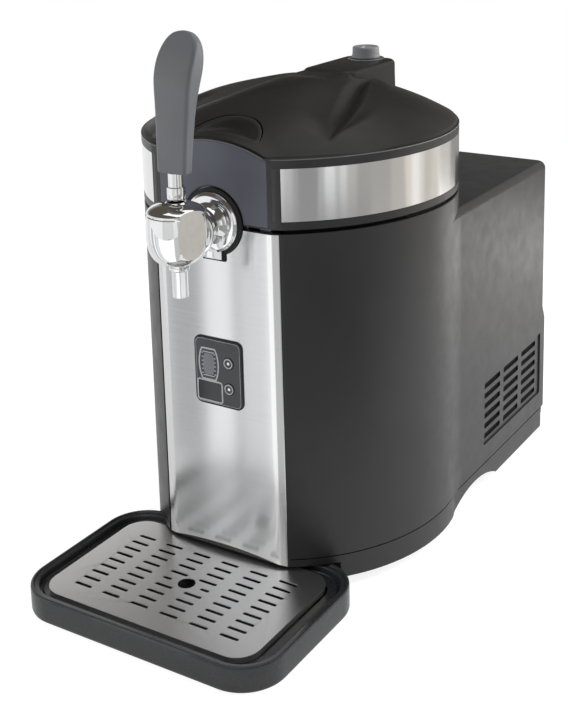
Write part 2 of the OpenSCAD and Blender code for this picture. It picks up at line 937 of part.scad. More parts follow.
module drip_grid() {
  gx = 100.5;
  y0 = -tray_front + 11.5;
  y1 = -127;
  placed([0.74, 0.74, 0.73])
    difference() {
      union() {
        slab(tray_h - 1.8, tray_h - 0.8) round_box(gx, y0, y1, 20);
        slab(tray_h - 6, tray_h - 0.9) difference() {
          round_box(gx - 0.4, y0 + 0.4, y1 - 0.4, 19.6);
          round_box(gx - 1.4, y0 + 1.4, y1 - 1.4, 18.6);
        }
      }
      translate([0, (y0 + y1) / 2 - 0.6, 0]) cylinder(r = 7.2, h = 40);
      for (c = [0 : 5]) for (r = [0 : slot_rows - 1]) {
        x = -71.5 + c * 28.6;
        y = (y0 + y1) / 2 - 1.6 - (r - (slot_rows - 1) / 2) * 10.2;
        near = (c == 2 || c == 3) && abs(y - (y0 + y1) / 2 + 0.6) < 9;
        if (near) grid_slot(x + (c == 2 ? -4.2 : 4.2), y, 8.6);
        else grid_slot(x, y, 17);
      }
    }
}
module grid_slot(x, y, l) {
  translate([x - l / 2 + 1.5, y - 1.5, 0]) cube([l - 3, 3, 40]);
  for (s = [-1, 1]) translate([x + s * (l / 2 - 1.5), y, 0]) cylinder(r = 1.5, h = 40, $fn = 24);
}

// ---- beverage line ----

module beer_hose() {
  placed([0.85, 0.87, 0.88, 0.8])
    translate([0, 0, tap_z]) rotate([0, 0, -81.4]) rotate_extrude(angle = 45.4, $fn = 180)
      translate([101.9, 0]) difference() {
        circle(r = 5.3, $fn = 48);
        circle(r = 3.5, $fn = 48);
      }
}

module line_coupler() {
  placed([0.16, 0.16, 0.17])
    translate([0, 0, tap_z]) rotate([0, 0, -35.8]) {
      translate([101.9, 0, 0]) rotate([-90, 0, 0]) cylinder(r = 6.4, h = 16);
      translate([101.9, 16, 0]) rotate([-90, 0, 0]) cylinder(r = 4.6, h = 10);
    }
}

/* [Hidden] */
base_plate();
rubber_feet();
body_shell();
rear_cover();
cover_screws();
front_panel();
control_bezel();
display_window();
button_up();
button_down();
control_board();
chamber_liner();
foam_front();
foam_rear();
foam_floor();
deck_ring();
cold_block();
peltier_module();
heat_sink();
fan_frame();
fan_rotor();
power_supply();
mains_inlet();
rocker_frame();
rocker_switch();
lid_shell();
release_button();
latch_slide();
head_ring();
steel_band_right();
steel_band_left();
lid_lining();
lid_foam();
lid_gasket();
pressure_regulator();
knob_washer();
regulator_knob();
hinge_bracket();
hinge_pin();
hinge_arms();
tap_plate();
tap_gasket();
tap_flange();
tap_shank();
tap_nut();
tap_body();
tap_cap();
tap_spout();
valve_spindle();
tap_lever();
tap_handle();
drip_tray();
drip_grid();
beer_hose();
line_coupler();
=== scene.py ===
import json
import math
import bpy
import bmesh
from mathutils import Matrix, Vector


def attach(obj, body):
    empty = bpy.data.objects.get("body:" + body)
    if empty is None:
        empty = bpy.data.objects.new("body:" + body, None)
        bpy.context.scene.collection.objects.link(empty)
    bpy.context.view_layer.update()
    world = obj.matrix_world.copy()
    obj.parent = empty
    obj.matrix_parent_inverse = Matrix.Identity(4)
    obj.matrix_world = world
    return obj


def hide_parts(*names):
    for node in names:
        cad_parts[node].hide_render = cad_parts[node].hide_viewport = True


# Looks for the small keg cooler. Lengths in the dictionaries are millimetres, measured from
# the drum's axis, so y is 5.5 mm behind the frame's own y. Angles are degrees.
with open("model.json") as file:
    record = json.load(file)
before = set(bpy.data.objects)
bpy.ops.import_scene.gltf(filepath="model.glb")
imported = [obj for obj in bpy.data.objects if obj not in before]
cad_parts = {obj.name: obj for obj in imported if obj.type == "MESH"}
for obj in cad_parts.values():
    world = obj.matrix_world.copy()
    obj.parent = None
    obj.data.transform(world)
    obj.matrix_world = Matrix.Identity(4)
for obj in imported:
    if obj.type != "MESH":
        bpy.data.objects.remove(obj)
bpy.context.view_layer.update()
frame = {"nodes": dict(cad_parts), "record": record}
axisY = 5.5
print("frame loaded,", len(frame["nodes"]), "solids")


def at(x, y, z):
    return Vector((x / 1000, (y + axisY) / 1000, z / 1000))


def placed(name, data):
    thing = bpy.data.objects.new(name, data)
    bpy.context.scene.collection.objects.link(thing)
    return thing


# camera, from points measured in the photo

photoCamera = {"place": (575.5, -909.0, 586.1), "turn": 30.970, "drop": 12.438, "roll": -0.9947,
               "lens": 62.89, "shift": (-0.0682, -0.3104)}


def makeCamera(spec):
    turn, drop, roll = (math.radians(spec[k]) for k in ("turn", "drop", "roll"))
    back = Vector((math.sin(turn) * math.cos(drop), -math.cos(turn) * math.cos(drop),
                   math.sin(drop)))
    side = Vector((0, 0, 1)).cross(back).normalized()
    up = back.cross(side)
    rolledSide = side * math.cos(roll) + up * math.sin(roll)
    rolledUp = up * math.cos(roll) - side * math.sin(roll)
    camera = placed("camera", bpy.data.cameras.new("camera"))
    grid = Matrix((rolledSide, rolledUp, back)).transposed().to_4x4()
    grid.translation = at(*spec["place"])
    camera.matrix_world = grid
    camera.data.sensor_width = 36
    camera.data.lens = spec["lens"]
    camera.data.shift_x, camera.data.shift_y = spec["shift"]
    camera.data.clip_start, camera.data.clip_end = 0.01, 100
    bpy.context.scene.camera = camera


makeCamera(photoCamera)
bpy.context.scene.view_settings.view_transform = "Standard"


# finishes, all procedural

def newMaterial(name):
    material = bpy.data.materials.new(name)
    material.use_nodes = True
    tree = material.node_tree
    return material, tree, tree.nodes["Principled BSDF"]


def addNode(tree, kind, inputs=None, **settings):
    # an input is either a plain value or the output of another node
    node = tree.nodes.new(kind)
    for key, value in settings.items():
        setattr(node, key, value)
    for key, value in (inputs or {}).items():
        if isinstance(value, bpy.types.NodeSocket):
            tree.links.new(value, node.inputs[key])
        else:
            node.inputs[key].default_value = value
    return node


def coords(tree, scale=(1, 1, 1), turn=(0, 0, 0)):
    source = addNode(tree, "ShaderNodeTexCoord").outputs["Object"]
    return addNode(tree, "ShaderNodeMapping",
                   {"Vector": source, "Scale": scale, "Rotation": turn}).outputs[0]


def noise(tree, vector, scale, detail=2.0, rough=0.5):
    return addNode(tree, "ShaderNodeTexNoise",
                   {"Vector": vector, "Scale": scale, "Detail": detail,
                    "Roughness": rough}).outputs["Fac"]


def remap(tree, value, low, high, fromLow=0.3, fromHigh=0.7):
    return addNode(tree, "ShaderNodeMapRange",
                   {"Value": value, "From Min": fromLow, "From Max": fromHigh, "To Min": low,
                    "To Max": high}).outputs["Result"]


def twoTone(tree, value, first, second):
    mix = addNode(tree, "ShaderNodeMix", data_type="RGBA")
    tree.links.new(value, mix.inputs[0])
    mix.inputs[6].default_value = (*first, 1)
    mix.inputs[7].default_value = (*second, 1)
    return mix.outputs[2]


def bumpFrom(tree, height, strength, depth):
    return addNode(tree, "ShaderNodeBump",
                   {"Height": height, "Strength": strength,
                    "Distance": depth / 1000}).outputs["Normal"]


def scaledTone(tone, factor):
    return tuple(min(1.0, c * factor) for c in tone)


def mouldedPlastic(name, tone, rough=0.42, grain=0.5, depth=0.02, mottle=0.06, specular=0.4):
    # satin moulding: spark-eroded grain, faint flow clouds, handled patches in the gloss
    material, tree, shader = newMaterial(name)
    space = coords(tree)
    clouds = noise(tree, space, 22, 3)
    shader.inputs["Specular IOR Level"].default_value = specular
    tones = scaledTone(tone, 1 - mottle), scaledTone(tone, 1 + mottle)
    tree.links.new(twoTone(tree, remap(tree, clouds, 0, 1), *tones), shader.inputs["Base Color"])
    wiped = noise(tree, space, 60, 4, 0.6)
    tree.links.new(remap(tree, wiped, rough - 0.04, rough + 0.05), shader.inputs["Roughness"])
    fine = noise(tree, space, 1000 / grain, 2)
    tree.links.new(bumpFrom(tree, fine, 0.35, depth), shader.inputs["Normal"])
    return material


def brushedMetal(name, tone, rough, along, lineWidth=0.35, depth=0.004, anisotropic=0.6):
    # fine brush lines along one axis
    material, tree, shader = newMaterial(name)
    squeeze = {"x": (0.004, 1, 1), "y": (1, 0.004, 1), "z": (1, 1, 0.004)}[along]
    lines = noise(tree, coords(tree, squeeze), 1000 / lineWidth, 3, 0.7)
    shader.inputs["Metallic"].default_value = 1.0
    shader.inputs["Anisotropic"].default_value = anisotropic
    tones = scaledTone(tone, 0.965), scaledTone(tone, 1.03)
    tree.links.new(twoTone(tree, remap(tree, lines, 0, 1), *tones), shader.inputs["Base Color"])
    tree.links.new(remap(tree, lines, rough - 0.02, rough + 0.03), shader.inputs["Roughness"])
    tree.links.new(bumpFrom(tree, lines, 0.3, depth), shader.inputs["Normal"])
    if along == "x":
        # the lines run level round the upright axis, so lights draw out upwards and downwards
        tangent = addNode(tree, "ShaderNodeTangent", direction_type="RADIAL", axis="Z")
        tree.links.new(tangent.outputs[0], shader.inputs["Tangent"])
        shader.inputs["Anisotropic Rotation"].default_value = 0.25
    return material


def plainMetal(name, tone, rough, depth=0.003, smear=0.04):
    # polished, plated or machined metal with faint waviness and smears
    material, tree, shader = newMaterial(name)
    space = coords(tree)
    shader.inputs["Metallic"].default_value = 1.0
    smears = noise(tree, space, 90, 4, 0.6)
    tree.links.new(remap(tree, smears, rough, rough + smear), shader.inputs["Roughness"])
    tones = scaledTone(tone, 0.95), scaledTone(tone, 1.03)
    tree.links.new(twoTone(tree, remap(tree, smears, 0, 1), *tones), shader.inputs["Base Color"])
    tree.links.new(bumpFrom(tree, noise(tree, space, 45, 2), 0.4, depth), shader.inputs["Normal"])
    return material


def cellFoam(name, tone):
    # cut rigid foam with small open cells
    material, tree, shader = newMaterial(name)
    space = coords(tree)
    cells = addNode(tree, "ShaderNodeTexVoronoi",
                    {"Vector": space, "Scale": 900.0}).outputs["Distance"]
    tree.links.new(twoTone(tree, remap(tree, cells, 0, 1, 0.0, 0.6), scaledTone(tone, 0.86), tone),
                   shader.inputs["Base Color"])
    tree.links.new(remap(tree, noise(tree, space, 80, 2), 0.78, 0.9), shader.inputs["Roughness"])
    tree.links.new(bumpFrom(tree, cells, 0.5, 0.25), shader.inputs["Normal"])
    return material


def clearPlastic(name, tone, clear, rough=0.12):
    material, tree, shader = newMaterial(name)
    space = coords(tree)
    shader.inputs["Transmission Weight"].default_value = clear
    clouds = noise(tree, space, 120, 2)
    tree.links.new(twoTone(tree, remap(tree, clouds, 0, 1), scaledTone(tone, 0.94), tone),
                   shader.inputs["Base Color"])
    tree.links.new(remap(tree, clouds, rough, rough + 0.08), shader.inputs["Roughness"])
    tree.links.new(bumpFrom(tree, clouds, 0.2, 0.02), shader.inputs["Normal"])
    return material


def boardGreen(name, tone):
    # lacquered board with copper runs under the green
    material, tree, shader = newMaterial(name)
    upright = coords(tree, (1, 1, 1), (math.radians(90), 0, 0))
    bricks = addNode(tree, "ShaderNodeTexBrick",
                     {"Vector": upright, "Scale": 260.0, "Mortar Size": 0.06}).outputs["Fac"]
    tree.links.new(twoTone(tree, bricks, tone, scaledTone(tone, 1.9)), shader.inputs["Base Color"])
    tree.links.new(remap(tree, noise(tree, coords(tree), 200, 2), 0.25, 0.4),
                   shader.inputs["Roughness"])
    tree.links.new(bumpFrom(tree, bricks, 0.3, 0.05), shader.inputs["Normal"])
    return material


# by the name of the material slot, with a few more looks for single pieces
finishes = {
    "black_plastic": mouldedPlastic("satinBlack", (0.017, 0.017, 0.018), 0.38, specular=0.52),
    "lid_plastic": mouldedPlastic("lidBlack", (0.013, 0.0125, 0.012), 0.40, specular=0.3),
    "fascia_plastic": mouldedPlastic("fasciaBlueGrey", (0.104, 0.110, 0.134), 0.46, specular=0.35),
    "gloss_black": mouldedPlastic("glossBlack", (0.012, 0.012, 0.013), 0.22, depth=0.008),
    "handle_grey": mouldedPlastic("handleGrey", (0.125, 0.130, 0.139), 0.34, specular=0.5),
    "inner_grey": mouldedPlastic("innerGrey", (0.16, 0.16, 0.17), 0.5),
    "rubber": mouldedPlastic("rubber", (0.018, 0.018, 0.018), 0.7, grain=0.8, depth=0.05),
    "white_ceramic": mouldedPlastic("ceramic", (0.82, 0.82, 0.79), 0.5, grain=0.3),
    "rocker_red": mouldedPlastic("rockerRed", (0.42, 0.03, 0.025), 0.25, depth=0.005),
    "knob_grey": mouldedPlastic("knobGrey", (0.17, 0.175, 0.18), 0.4, grain=0.4),
    "tray_black": mouldedPlastic("trayBlack", (0.020, 0.021, 0.023), 0.27, depth=0.006,
                                 specular=0.55),
    # near-black sheet behind the vent slots: painted shade for the dark inside seen through the
    # vents
    "gauze": mouldedPlastic("gauze", (0.006, 0.006, 0.006), 0.8, grain=0.9, depth=0.2,
                            specular=0.1),
    # light grey for the beads on the fascia's arch and the ring's rim: painted edge highlights
    "painted_edge_highlight": mouldedPlastic("edgeHighlightGrey", (0.13, 0.13, 0.132), 0.35, specular=0.6),
    # lighter grey for the fascia's margin ribs and the button's rim bead: painted highlight
    "ridge_highlight_grey": mouldedPlastic("ridgeHighlightGrey", (0.046, 0.046, 0.047), 0.4),
    "slate": mouldedPlastic("slate", (0.050, 0.053, 0.058), 0.3, depth=0.005),
    "mark_grey": mouldedPlastic("markGrey", (0.42, 0.44, 0.46), 0.45, grain=0.3, depth=0.004),
    "mark_dim": mouldedPlastic("markDim", (0.17, 0.18, 0.19), 0.45, grain=0.3, depth=0.004),
    "mark_white": mouldedPlastic("markWhite", (0.88, 0.89, 0.90), 0.35, grain=0.3, depth=0.003),
    "button_black": mouldedPlastic("buttonBlack", (0.022, 0.023, 0.025), 0.25, depth=0.008),
    "brushed_steel": brushedMetal("brushedSteel", (0.76, 0.762, 0.765), 0.16, "x", anisotropic=0.9),
    "chrome": plainMetal("chrome", (0.84, 0.845, 0.85), 0.03, 0.002, 0.03),
    "zinc_steel": plainMetal("zincSteel", (0.52, 0.53, 0.55), 0.3, 0.02, 0.12),
    "aluminium": plainMetal("aluminium", (0.70, 0.71, 0.72), 0.32, 0.01, 0.1),
    "brass": plainMetal("brass", (0.66, 0.50, 0.22), 0.24, 0.01, 0.1),
    # the foam is toned dark grey: painted shade for the cabinet's inside, seen through the vents
    "foam": cellFoam("cellFoam", (0.10, 0.10, 0.105)),
    "board_green": boardGreen("boardGreen", (0.012, 0.085, 0.035)),
    "display_glass": clearPlastic("displayWindow", (0.04, 0.045, 0.05), 0.35, 0.08),
    "hose": clearPlastic("hoseClear", (0.78, 0.80, 0.82), 0.6, 0.2),
    "grid_steel": brushedMetal("gridSteel", (0.66, 0.655, 0.65), 0.3, "y", anisotropic=0.0),
    "dark_alloy": plainMetal("darkAlloy", (0.045, 0.046, 0.05), 0.42, 0.01, 0.1),
}
print("finishes made")


# softened edges, shared by everything

def smoothEdges():
    # smooth shading with the edges above 30 degrees kept sharp
    group = bpy.data.node_groups.new("smoothEdges", "GeometryNodeTree")
    group.interface.new_socket("Geometry", in_out="INPUT", socket_type="NodeSocketGeometry")
    group.interface.new_socket("Geometry", in_out="OUTPUT", socket_type="NodeSocketGeometry")
    start, end = group.nodes.new("NodeGroupInput"), group.nodes.new("NodeGroupOutput")
    faces = addNode(group, "GeometryNodeSetShadeSmooth", domain="FACE")
    edges = addNode(group, "GeometryNodeSetShadeSmooth", domain="EDGE")
    angle = addNode(group, "GeometryNodeInputMeshEdgeAngle")
    limit = addNode(group, "FunctionNodeCompare", data_type="FLOAT", operation="LESS_THAN")
    group.links.new(angle.outputs["Unsigned Angle"], limit.inputs[0])
    limit.inputs[1].default_value = math.radians(30)
    group.links.new(start.outputs[0], faces.inputs["Geometry"])
    group.links.new(faces.outputs[0], edges.inputs["Geometry"])
    group.links.new(limit.outputs[0], edges.inputs["Shade Smooth"])
    group.links.new(edges.outputs[0], end.inputs[0])
    return group


smoothGroup = smoothEdges()


def softEdges(piece, width, segments=2, weld=True):
    if weld:
        piece.modifiers.new("weld", "WELD").merge_threshold = 2e-6
    if width:
        bevel = piece.modifiers.new("edges", "BEVEL")
        bevel.width = width / 1000
        bevel.segments = segments
        bevel.limit_method = "ANGLE"
        bevel.angle_limit = math.radians(38)
        bevel.use_clamp_overlap = True
        bevel.miter_outer = "MITER_ARC"
    piece.modifiers.new("shading", "NODES").node_group = smoothGroup
    flats = piece.modifiers.new("flats", "WEIGHTED_NORMAL")
    flats.keep_sharp = True
    flats.weight = 60


def setFinish(piece, material):
    piece.data.materials.clear()
    piece.data.materials.append(material)


def faceOutwards(mesh):
    work = bmesh.new()
    work.from_mesh(mesh)
    bmesh.ops.recalc_face_normals(work, faces=work.faces)
    work.to_mesh(mesh)
    work.free()
    return mesh


def asMesh(points, faces, name="part"):
    # points in millimetres round the drum's axis
    mesh = bpy.data.meshes.new(name)
    mesh.from_pydata([at(*p) for p in points], [], faces)
    return faceOutwards(mesh)


def finishPiece(name, mesh, body, slot, nodes=(), look=None, edge=0.0, sharp=30):
    # the piece rides on a body and stands for the solids named in nodes; look is a finish
    # other than the slot's own, edge the width of soft edges, sharp the least angle of a crease
    faceOutwards(mesh)
    mesh.shade_smooth()
    mesh.set_sharp_from_angle(angle=math.radians(sharp))
    piece = placed(name, mesh)
    setFinish(piece, finishes[look or slot])
    if edge:
        softEdges(piece, edge, weld=False)
    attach(piece, body)
    if nodes:
        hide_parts(*nodes)
    return piece


def makePiece(name, solid, *where, **options):
    return finishPiece(name, asMesh(*solid, name), *where, **options)


def joinRings(rings):
    # quads between rings that hold the same number of points
    faces, count = [], len(rings[0])
    for level in range(len(rings) - 1):
        for i in range(count):
            j = (i + 1) % count
            faces.append((level * count + i, level * count + j, (level + 1) * count + j,
                          (level + 1) * count + i))
    return [p for ring in rings for p in ring], faces


def capped(rings):
    # closed solid from rings, with a flat face on the first and the last
    count = len(rings[0])
    points, faces = joinRings(rings)
    return points, faces + [tuple(range(count))[::-1],
                            tuple(range((len(rings) - 1) * count, len(rings) * count))]


def looped(rings):
    # closed tube of rings: the last ring joins the first
    points, faces = joinRings(rings)
    count, last = len(rings[0]), (len(rings) - 1) * len(rings[0])
    return points, faces + [(last + i, last + (i + 1) % count, (i + 1) % count, i)
                            for i in range(count)]


def fillMiddle(points, faces, count, first, tip):
    # fan from the ring that starts at point number first to its tip
    points.append(tip)
    faces += [(first + i, first + (i + 1) % count, len(points) - 1) for i in range(count)]


def makeBead(name, path, radius, body, look, sides=8):
    # round bead along an open path of points
    rings = []
    for i, here in enumerate(path):
        along = (Vector(path[min(i + 1, len(path) - 1)]) - Vector(path[max(i - 1, 0)])).normalized()
        out = along.cross(Vector((0.13, -0.31, 0.94))).normalized()
        up = along.cross(out)
        share = 0.3 if i in (0, len(path) - 1) else 1.0
        rings.append([tuple(Vector(here) + (out * math.cos(a) + up * math.sin(a)) * radius * share)
                      for a in (2 * math.pi * k / sides for k in range(sides))])
    makePiece(name, capped(rings), body, "black_plastic", look=look, sharp=60)


def combine(mesh, solids, operation="DIFFERENCE"):
    # exact boolean of a mesh with scratch solids, which are used up
    base = placed("base", mesh)
    for solid in solids:
        step = base.modifiers.new("cut", "BOOLEAN")
        step.operation, step.solver, step.object = operation, "EXACT", solid
    bpy.context.view_layer.update()
    graph = bpy.context.evaluated_depsgraph_get()
    result = bpy.data.meshes.new_from_object(base.evaluated_get(graph))
    bpy.data.objects.remove(base)
    for solid in solids:
        bpy.data.objects.remove(solid)
    return result


def cutter(rings):
    return placed("cutter", asMesh(*capped(rings), "cutter"))


def upCutter(outline, low, high):
    # solid for cutting, from an outline in x and y
    return cutter([[(x, y, z) for x, y in outline] for z in (low, high)])


def sideCutter(outline, x0, x1):
    return cutter([[(x, y, z) for y, z in outline] for x in (x0, x1)])


def frontCutter(outline, y0, y1):
    return cutter([[(x, y, z) for x, z in outline] for y in (y0, y1)])


def roundedOutline(x0, x1, y0, y1, radius, steps=8):
    points = []
    for cx, cy, start in ((x1 - radius, y0 + radius, -90), (x1 - radius, y1 - radius, 0),
                          (x0 + radius, y1 - radius, 90), (x0 + radius, y0 + radius, 180)):
        for i in range(steps + 1):
            turn = math.radians(start + 90 * i / steps)
            points.append((cx + radius * math.cos(turn), cy + radius * math.sin(turn)))
    return points


def circleOutline(x, y, radius, steps=64):
    return [(x + radius * math.cos(2 * math.pi * i / steps),
             y + radius * math.sin(2 * math.pi * i / steps)) for i in range(steps)]


def boxPoints(x0, x1, y0, y1):
    return [(x0, y0), (x1, y0), (x1, y1), (x0, y1)]


def turnedBox(x0, x1, reach, middle, turn):
    # plan of a box beside an upright axis, turned about that axis
    turn = math.radians(turn)
    return [(x * math.cos(turn) - y * math.sin(turn),
             middle + x * math.sin(turn) + y * math.cos(turn))
            for x, y in ((x0, -reach), (x1, -reach), (x1, reach), (x0, reach))]


def turned(profile, y, steps=96):
    # rings round an upright axis, from (radius, height) rows
    return [[(r * math.cos(2 * math.pi * i / steps), y + r * math.sin(2 * math.pi * i / steps), z)
             for i in range(steps)] for r, z in profile]


def latheRings(profile, x, z, steps=48):
    # rings round an axis that points to the front, from (radius, y) rows
    return [[(x + r * math.cos(2 * math.pi * i / steps), y,
              z + r * math.sin(2 * math.pi * i / steps)) for i in range(steps)] for r, y in profile]


def easeStep(t):
    t = min(max(t, 0.0), 1.0)
    return t * t * (3 - 2 * t)


def rounder(profile, steps=3):
    # Catmull-Rom points between the rows of a turned profile
    rows = []
    for n in range(len(profile) - 1):
        a, b, c, d = (profile[min(max(n + k, 0), len(profile) - 1)] for k in (-1, 0, 1, 2))
        for i in range(steps):
            t = i / steps
            rows.append(tuple(0.5 * (2 * q + (r - p) * t + (2 * p - 5 * q + 4 * r - w) * t * t
                                     + (3 * q - p - 3 * r + w) * t ** 3)
                              for p, q, r, w in zip(a, b, c, d)))
    return rows + [profile[-1]]


def makePlate(name, outline, face, back, edge, slot, look=None, nodes=(), holes=()):
    # upright plate from an outline function of its inset, with a rounded front edge and holes
    levels = [(0, back), (0, face - edge)]
    levels += [(edge * (1 - math.cos(a)), face - edge * (1 - math.sin(a)))
               for a in map(math.radians, (30, 60, 90))]
    mesh = asMesh(*capped([[(x, -y, z) for x, z in outline(inset)] for inset, y in levels]))
    if holes:
        mesh = combine(mesh, [frontCutter(hole, -face - 3, -back + 3) for hole in holes])
    return finishPiece(name, mesh, "cabinet", slot, nodes, look, sharp=35)


# solids that keep their own shape

# widths of the softened edges; solids without a row take the last one
edgeWidth = {"cover_screws": 0.12, "control_board": 0.1, "display_window": 0.15, "fan_rotor": 0.2,
             "cold_block": 0.6, "heat_sink": 0.25, "knob_washer": 0.2, "steel_band_left": 0,
             "steel_band_right": 0, "beer_hose": 0, "tap_plate": 0.3, "drip_grid": 0.25,
             "head_ring": 0.5, "tap_lever": 0.4, "tap_gasket": 0.4, "base_plate": 0.5,
             "rear_cover": 0.5, "other": 0.3}
otherLooks = {"drip_grid": "grid_steel", "head_ring": "black_plastic", "heat_sink": "dark_alloy"}


def dressSolids():
    slots = {s["node"]: s["material_slot"] for s in frame["record"]["subparts"]}
    for name, piece in frame["nodes"].items():
        setFinish(piece, finishes[otherLooks.get(name, slots[name])])
        softEdges(piece, edgeWidth.get(name, edgeWidth["other"]))
    print("solids dressed")


dressSolids()


# outline of the drum, shared by the lid, the fascia, the shell and the panel

tapHeight = 308
drum = {"half": 135, "flank": 157, "front": 136, "flat": 53, "edge": 61.5}
flankX = drum["flank"] - drum["half"]
edgeY = math.sqrt(drum["flank"] ** 2 - (drum["edge"] + flankX) ** 2)
bevelSlope = (drum["front"] - edgeY) / (drum["edge"] - drum["flat"])


def drumOutline(grow, counts=(14, 3, 96, 72)):
    # from the middle of the front round the right side to the back, then the mirrored side
    radius, frontLine = drum["flank"] + grow, -drum["front"] - grow
    shift = frontLine - drum["flat"] * bevelSlope
    a, b = 1 + bevelSlope ** 2, 2 * (flankX + bevelSlope * shift)
    c = flankX ** 2 + shift ** 2 - radius ** 2
    meetX = (-b + math.sqrt(b * b - 4 * a * c)) / (2 * a)
    meetY = shift + bevelSlope * meetX
    flat, bevel, flank, rear = counts
    half = [(drum["flat"] * i / flat, frontLine) for i in range(flat)]
    half += [(drum["flat"] + (meetX - drum["flat"]) * i / bevel,
              frontLine + (meetX - drum["flat"]) * i / bevel * bevelSlope) for i in range(bevel)]
    start = math.atan2(meetY, meetX + flankX)
    half += [(radius * math.cos(a) - flankX, radius * math.sin(a))
             for a in (start * (1 - i / flank) for i in range(flank))]
    back = drum["half"] + grow
    half += [(back * math.cos(a), back * math.sin(a))
             for a in (math.pi / 2 * i / rear for i in range(rear + 1))]
    return half + [(-x, y) for x, y in reversed(half[1:-1])]


# lid: dome with a crowned bonnet, a scoop at each side of it, and a visor over the front

lid = {
    "sphere": 262, "centre": 140.5, "lip": 364.0, "inset": 1.5, "wall": 2.6, "rings": 92,
    "arch": 118, "archCentre": 256, "archTilt": 9.5, "blendY": 46,
    # along y: edge of the bonnet, its drop under the dome, valley and its depth, fold and its
    # depth, outer end of the scoop, and how square the bonnet's crown is
    "scoops": [(-94, 78, 0, 80, 0, 82, 0, 84, 3), (-78, 70, 2.2, 76, 3.6, 80, 1.2, 84, 3),
               (-60, 60, 5.0, 70, 8.0, 79, 2.4, 89, 2.6),
               (-40, 52, 7.0, 63, 12.0, 75, 3.2, 92, 2.4),
               (-20, 45, 6.6, 57, 13.5, 70, 2.6, 92, 2.4), (0, 38, 5.0, 50, 12.8, 63, 2.0, 88, 2.8),
               (20, 32, 2.6, 43, 10.8, 54, 1.0, 80, 4), (38, 27, 1.0, 36, 8.0, 46, -0.6, 68, 10),
               (58, 26, 0.4, 31, 4.0, 39, -1.8, 56, 20), (76, 26, 0, 28, 1.0, 33, -0.8, 44, 20),
               (92, 26, 0, 27, 0, 29, 0, 34, 20)],
}
housing = {"half": 27, "front": 36, "back": 128, "top": 402.5, "foot": 366, "corner": 12,
           "edge": 4.5, "wall": 2.5}


def scoopAt(y):
    # smooth curve through the rows, so that the creases run without kinks
    rows = lid["scoops"]
    y = min(max(y, rows[0][0]), rows[-1][0])
    n = next(i for i in range(len(rows) - 1) if y <= rows[i + 1][0])
    low, high = rows[n], rows[n + 1]
    before, after = rows[max(n - 1, 0)], rows[min(n + 2, len(rows) - 1)]
    span = high[0] - low[0]
    t = (y - low[0]) / span
    found = []
    for a, b, c, d in zip(before[1:], low[1:], high[1:], after[1:]):
        leave = (c - a) / max(1, high[0] - before[0]) * span
        arrive = (d - b) / max(1, after[0] - low[0]) * span
        found.append((2 * t ** 3 - 3 * t * t + 1) * b + (t ** 3 - 2 * t * t + t) * leave
                     + (3 * t * t - 2 * t ** 3) * c + (t ** 3 - t * t) * arrive)
    return found


def lidHeight(x, y):
    across = abs(x)
    dome = lid["centre"] + math.sqrt(max(0, lid["sphere"] ** 2 - x * x - y * y))
    edge, drop, valley, depth, fold, foldDepth, end, square = scoopAt(y)
    ridge = lid["centre"] + math.sqrt(lid["sphere"] ** 2 - min(y, 0) ** 2)
    crownLine = ridge - 0.8 * easeStep(y / 12)
    edgeDome = lid["centre"] + math.sqrt(max(0, lid["sphere"] ** 2 - edge * edge - y * y))
    if across <= edge:
        height = crownLine - (crownLine - edgeDome + drop) * (across / edge) ** square
        height += (dome - height) * easeStep((y - lid["blendY"]) / 10)
    elif across < valley:
        height = dome - drop - (depth - drop) * easeStep((across - edge) / (valley - edge)) ** 0.8
    elif across < fold:
        rise = min(1, (across - valley) / (fold - valley))
        height = dome - depth + (depth - foldDepth) * rise ** 1.45
    elif across < end:
        height = dome - foldDepth * (1 - easeStep((across - fold) / (end - fold)))
    else:
        height = dome
    tilt = math.radians(lid["archTilt"])
    if across < lid["arch"] * 0.8:
        reach = math.sqrt(lid["arch"] ** 2 - x * x) + (y + drum["front"]) * math.sin(tilt)
        arch = lid["archCentre"] + reach / math.cos(tilt)
        gap = (height - arch) / 3.0
        if y < -60 and gap < 1:
            height = arch if gap < -1 else height + (1 - gap) ** 2 * 0.75
    return max(height, lid["lip"] + 0.4)


def lidRings(drop, inset, count):
    # rings of the lid's surface from its rim to the middle, drop lower and inset from the outline
    rings = []
    rim = drumOutline(-inset)
    for k in range(count):
        share = 1 - k / count
        rings.append([(x * share, y * share, lidHeight(x * share, y * share) - drop)
                      for x, y in rim])
    return rings


def makeLid():
    inset, rimLow = lid["inset"], lid["lip"] - 0.4
    outer = lidRings(0, inset + 1.1, lid["rings"])
    inner = lidRings(lid["wall"], inset + 3.4, 30)
    outerEdge = drumOutline(-inset)
    middleEdge = drumOutline(-inset - 0.35)
    top = [[(x, y, rimLow) for x, y in outerEdge],
           [(x, y, max(rimLow + 0.2, lidHeight(x, y) - 1.0)) for x, y in outerEdge],
           [(x, y, max(rimLow + 0.3, lidHeight(x, y) - 0.3)) for x, y in middleEdge]] + outer
    count = len(outerEdge)
    points, faces = joinRings(top)
    fillMiddle(points, faces, count, (len(top) - 1) * count, (0, 0, lidHeight(0, 0)))
    start = len(points)
    under = [[(x, y, rimLow) for x, y in drumOutline(-inset - 3.0)]] + inner
    more, moreFaces = joinRings(under)
    points += more
    faces += [tuple(start + i for i in face) for face in moreFaces]
    faces += [(i, (i + 1) % count, start + (i + 1) % count, start + i) for i in range(count)]
    fillMiddle(points, faces, count, start + (len(under) - 1) * count,
               (0, 0, lidHeight(0, 0) - lid["wall"]))
    mesh = combine(asMesh(points, faces), [upCutter(buttonOutline(0.7), 355, 420)])
    finishPiece("lidDome", mesh, "head", "lid_plastic", ["lid_shell"], sharp=38)


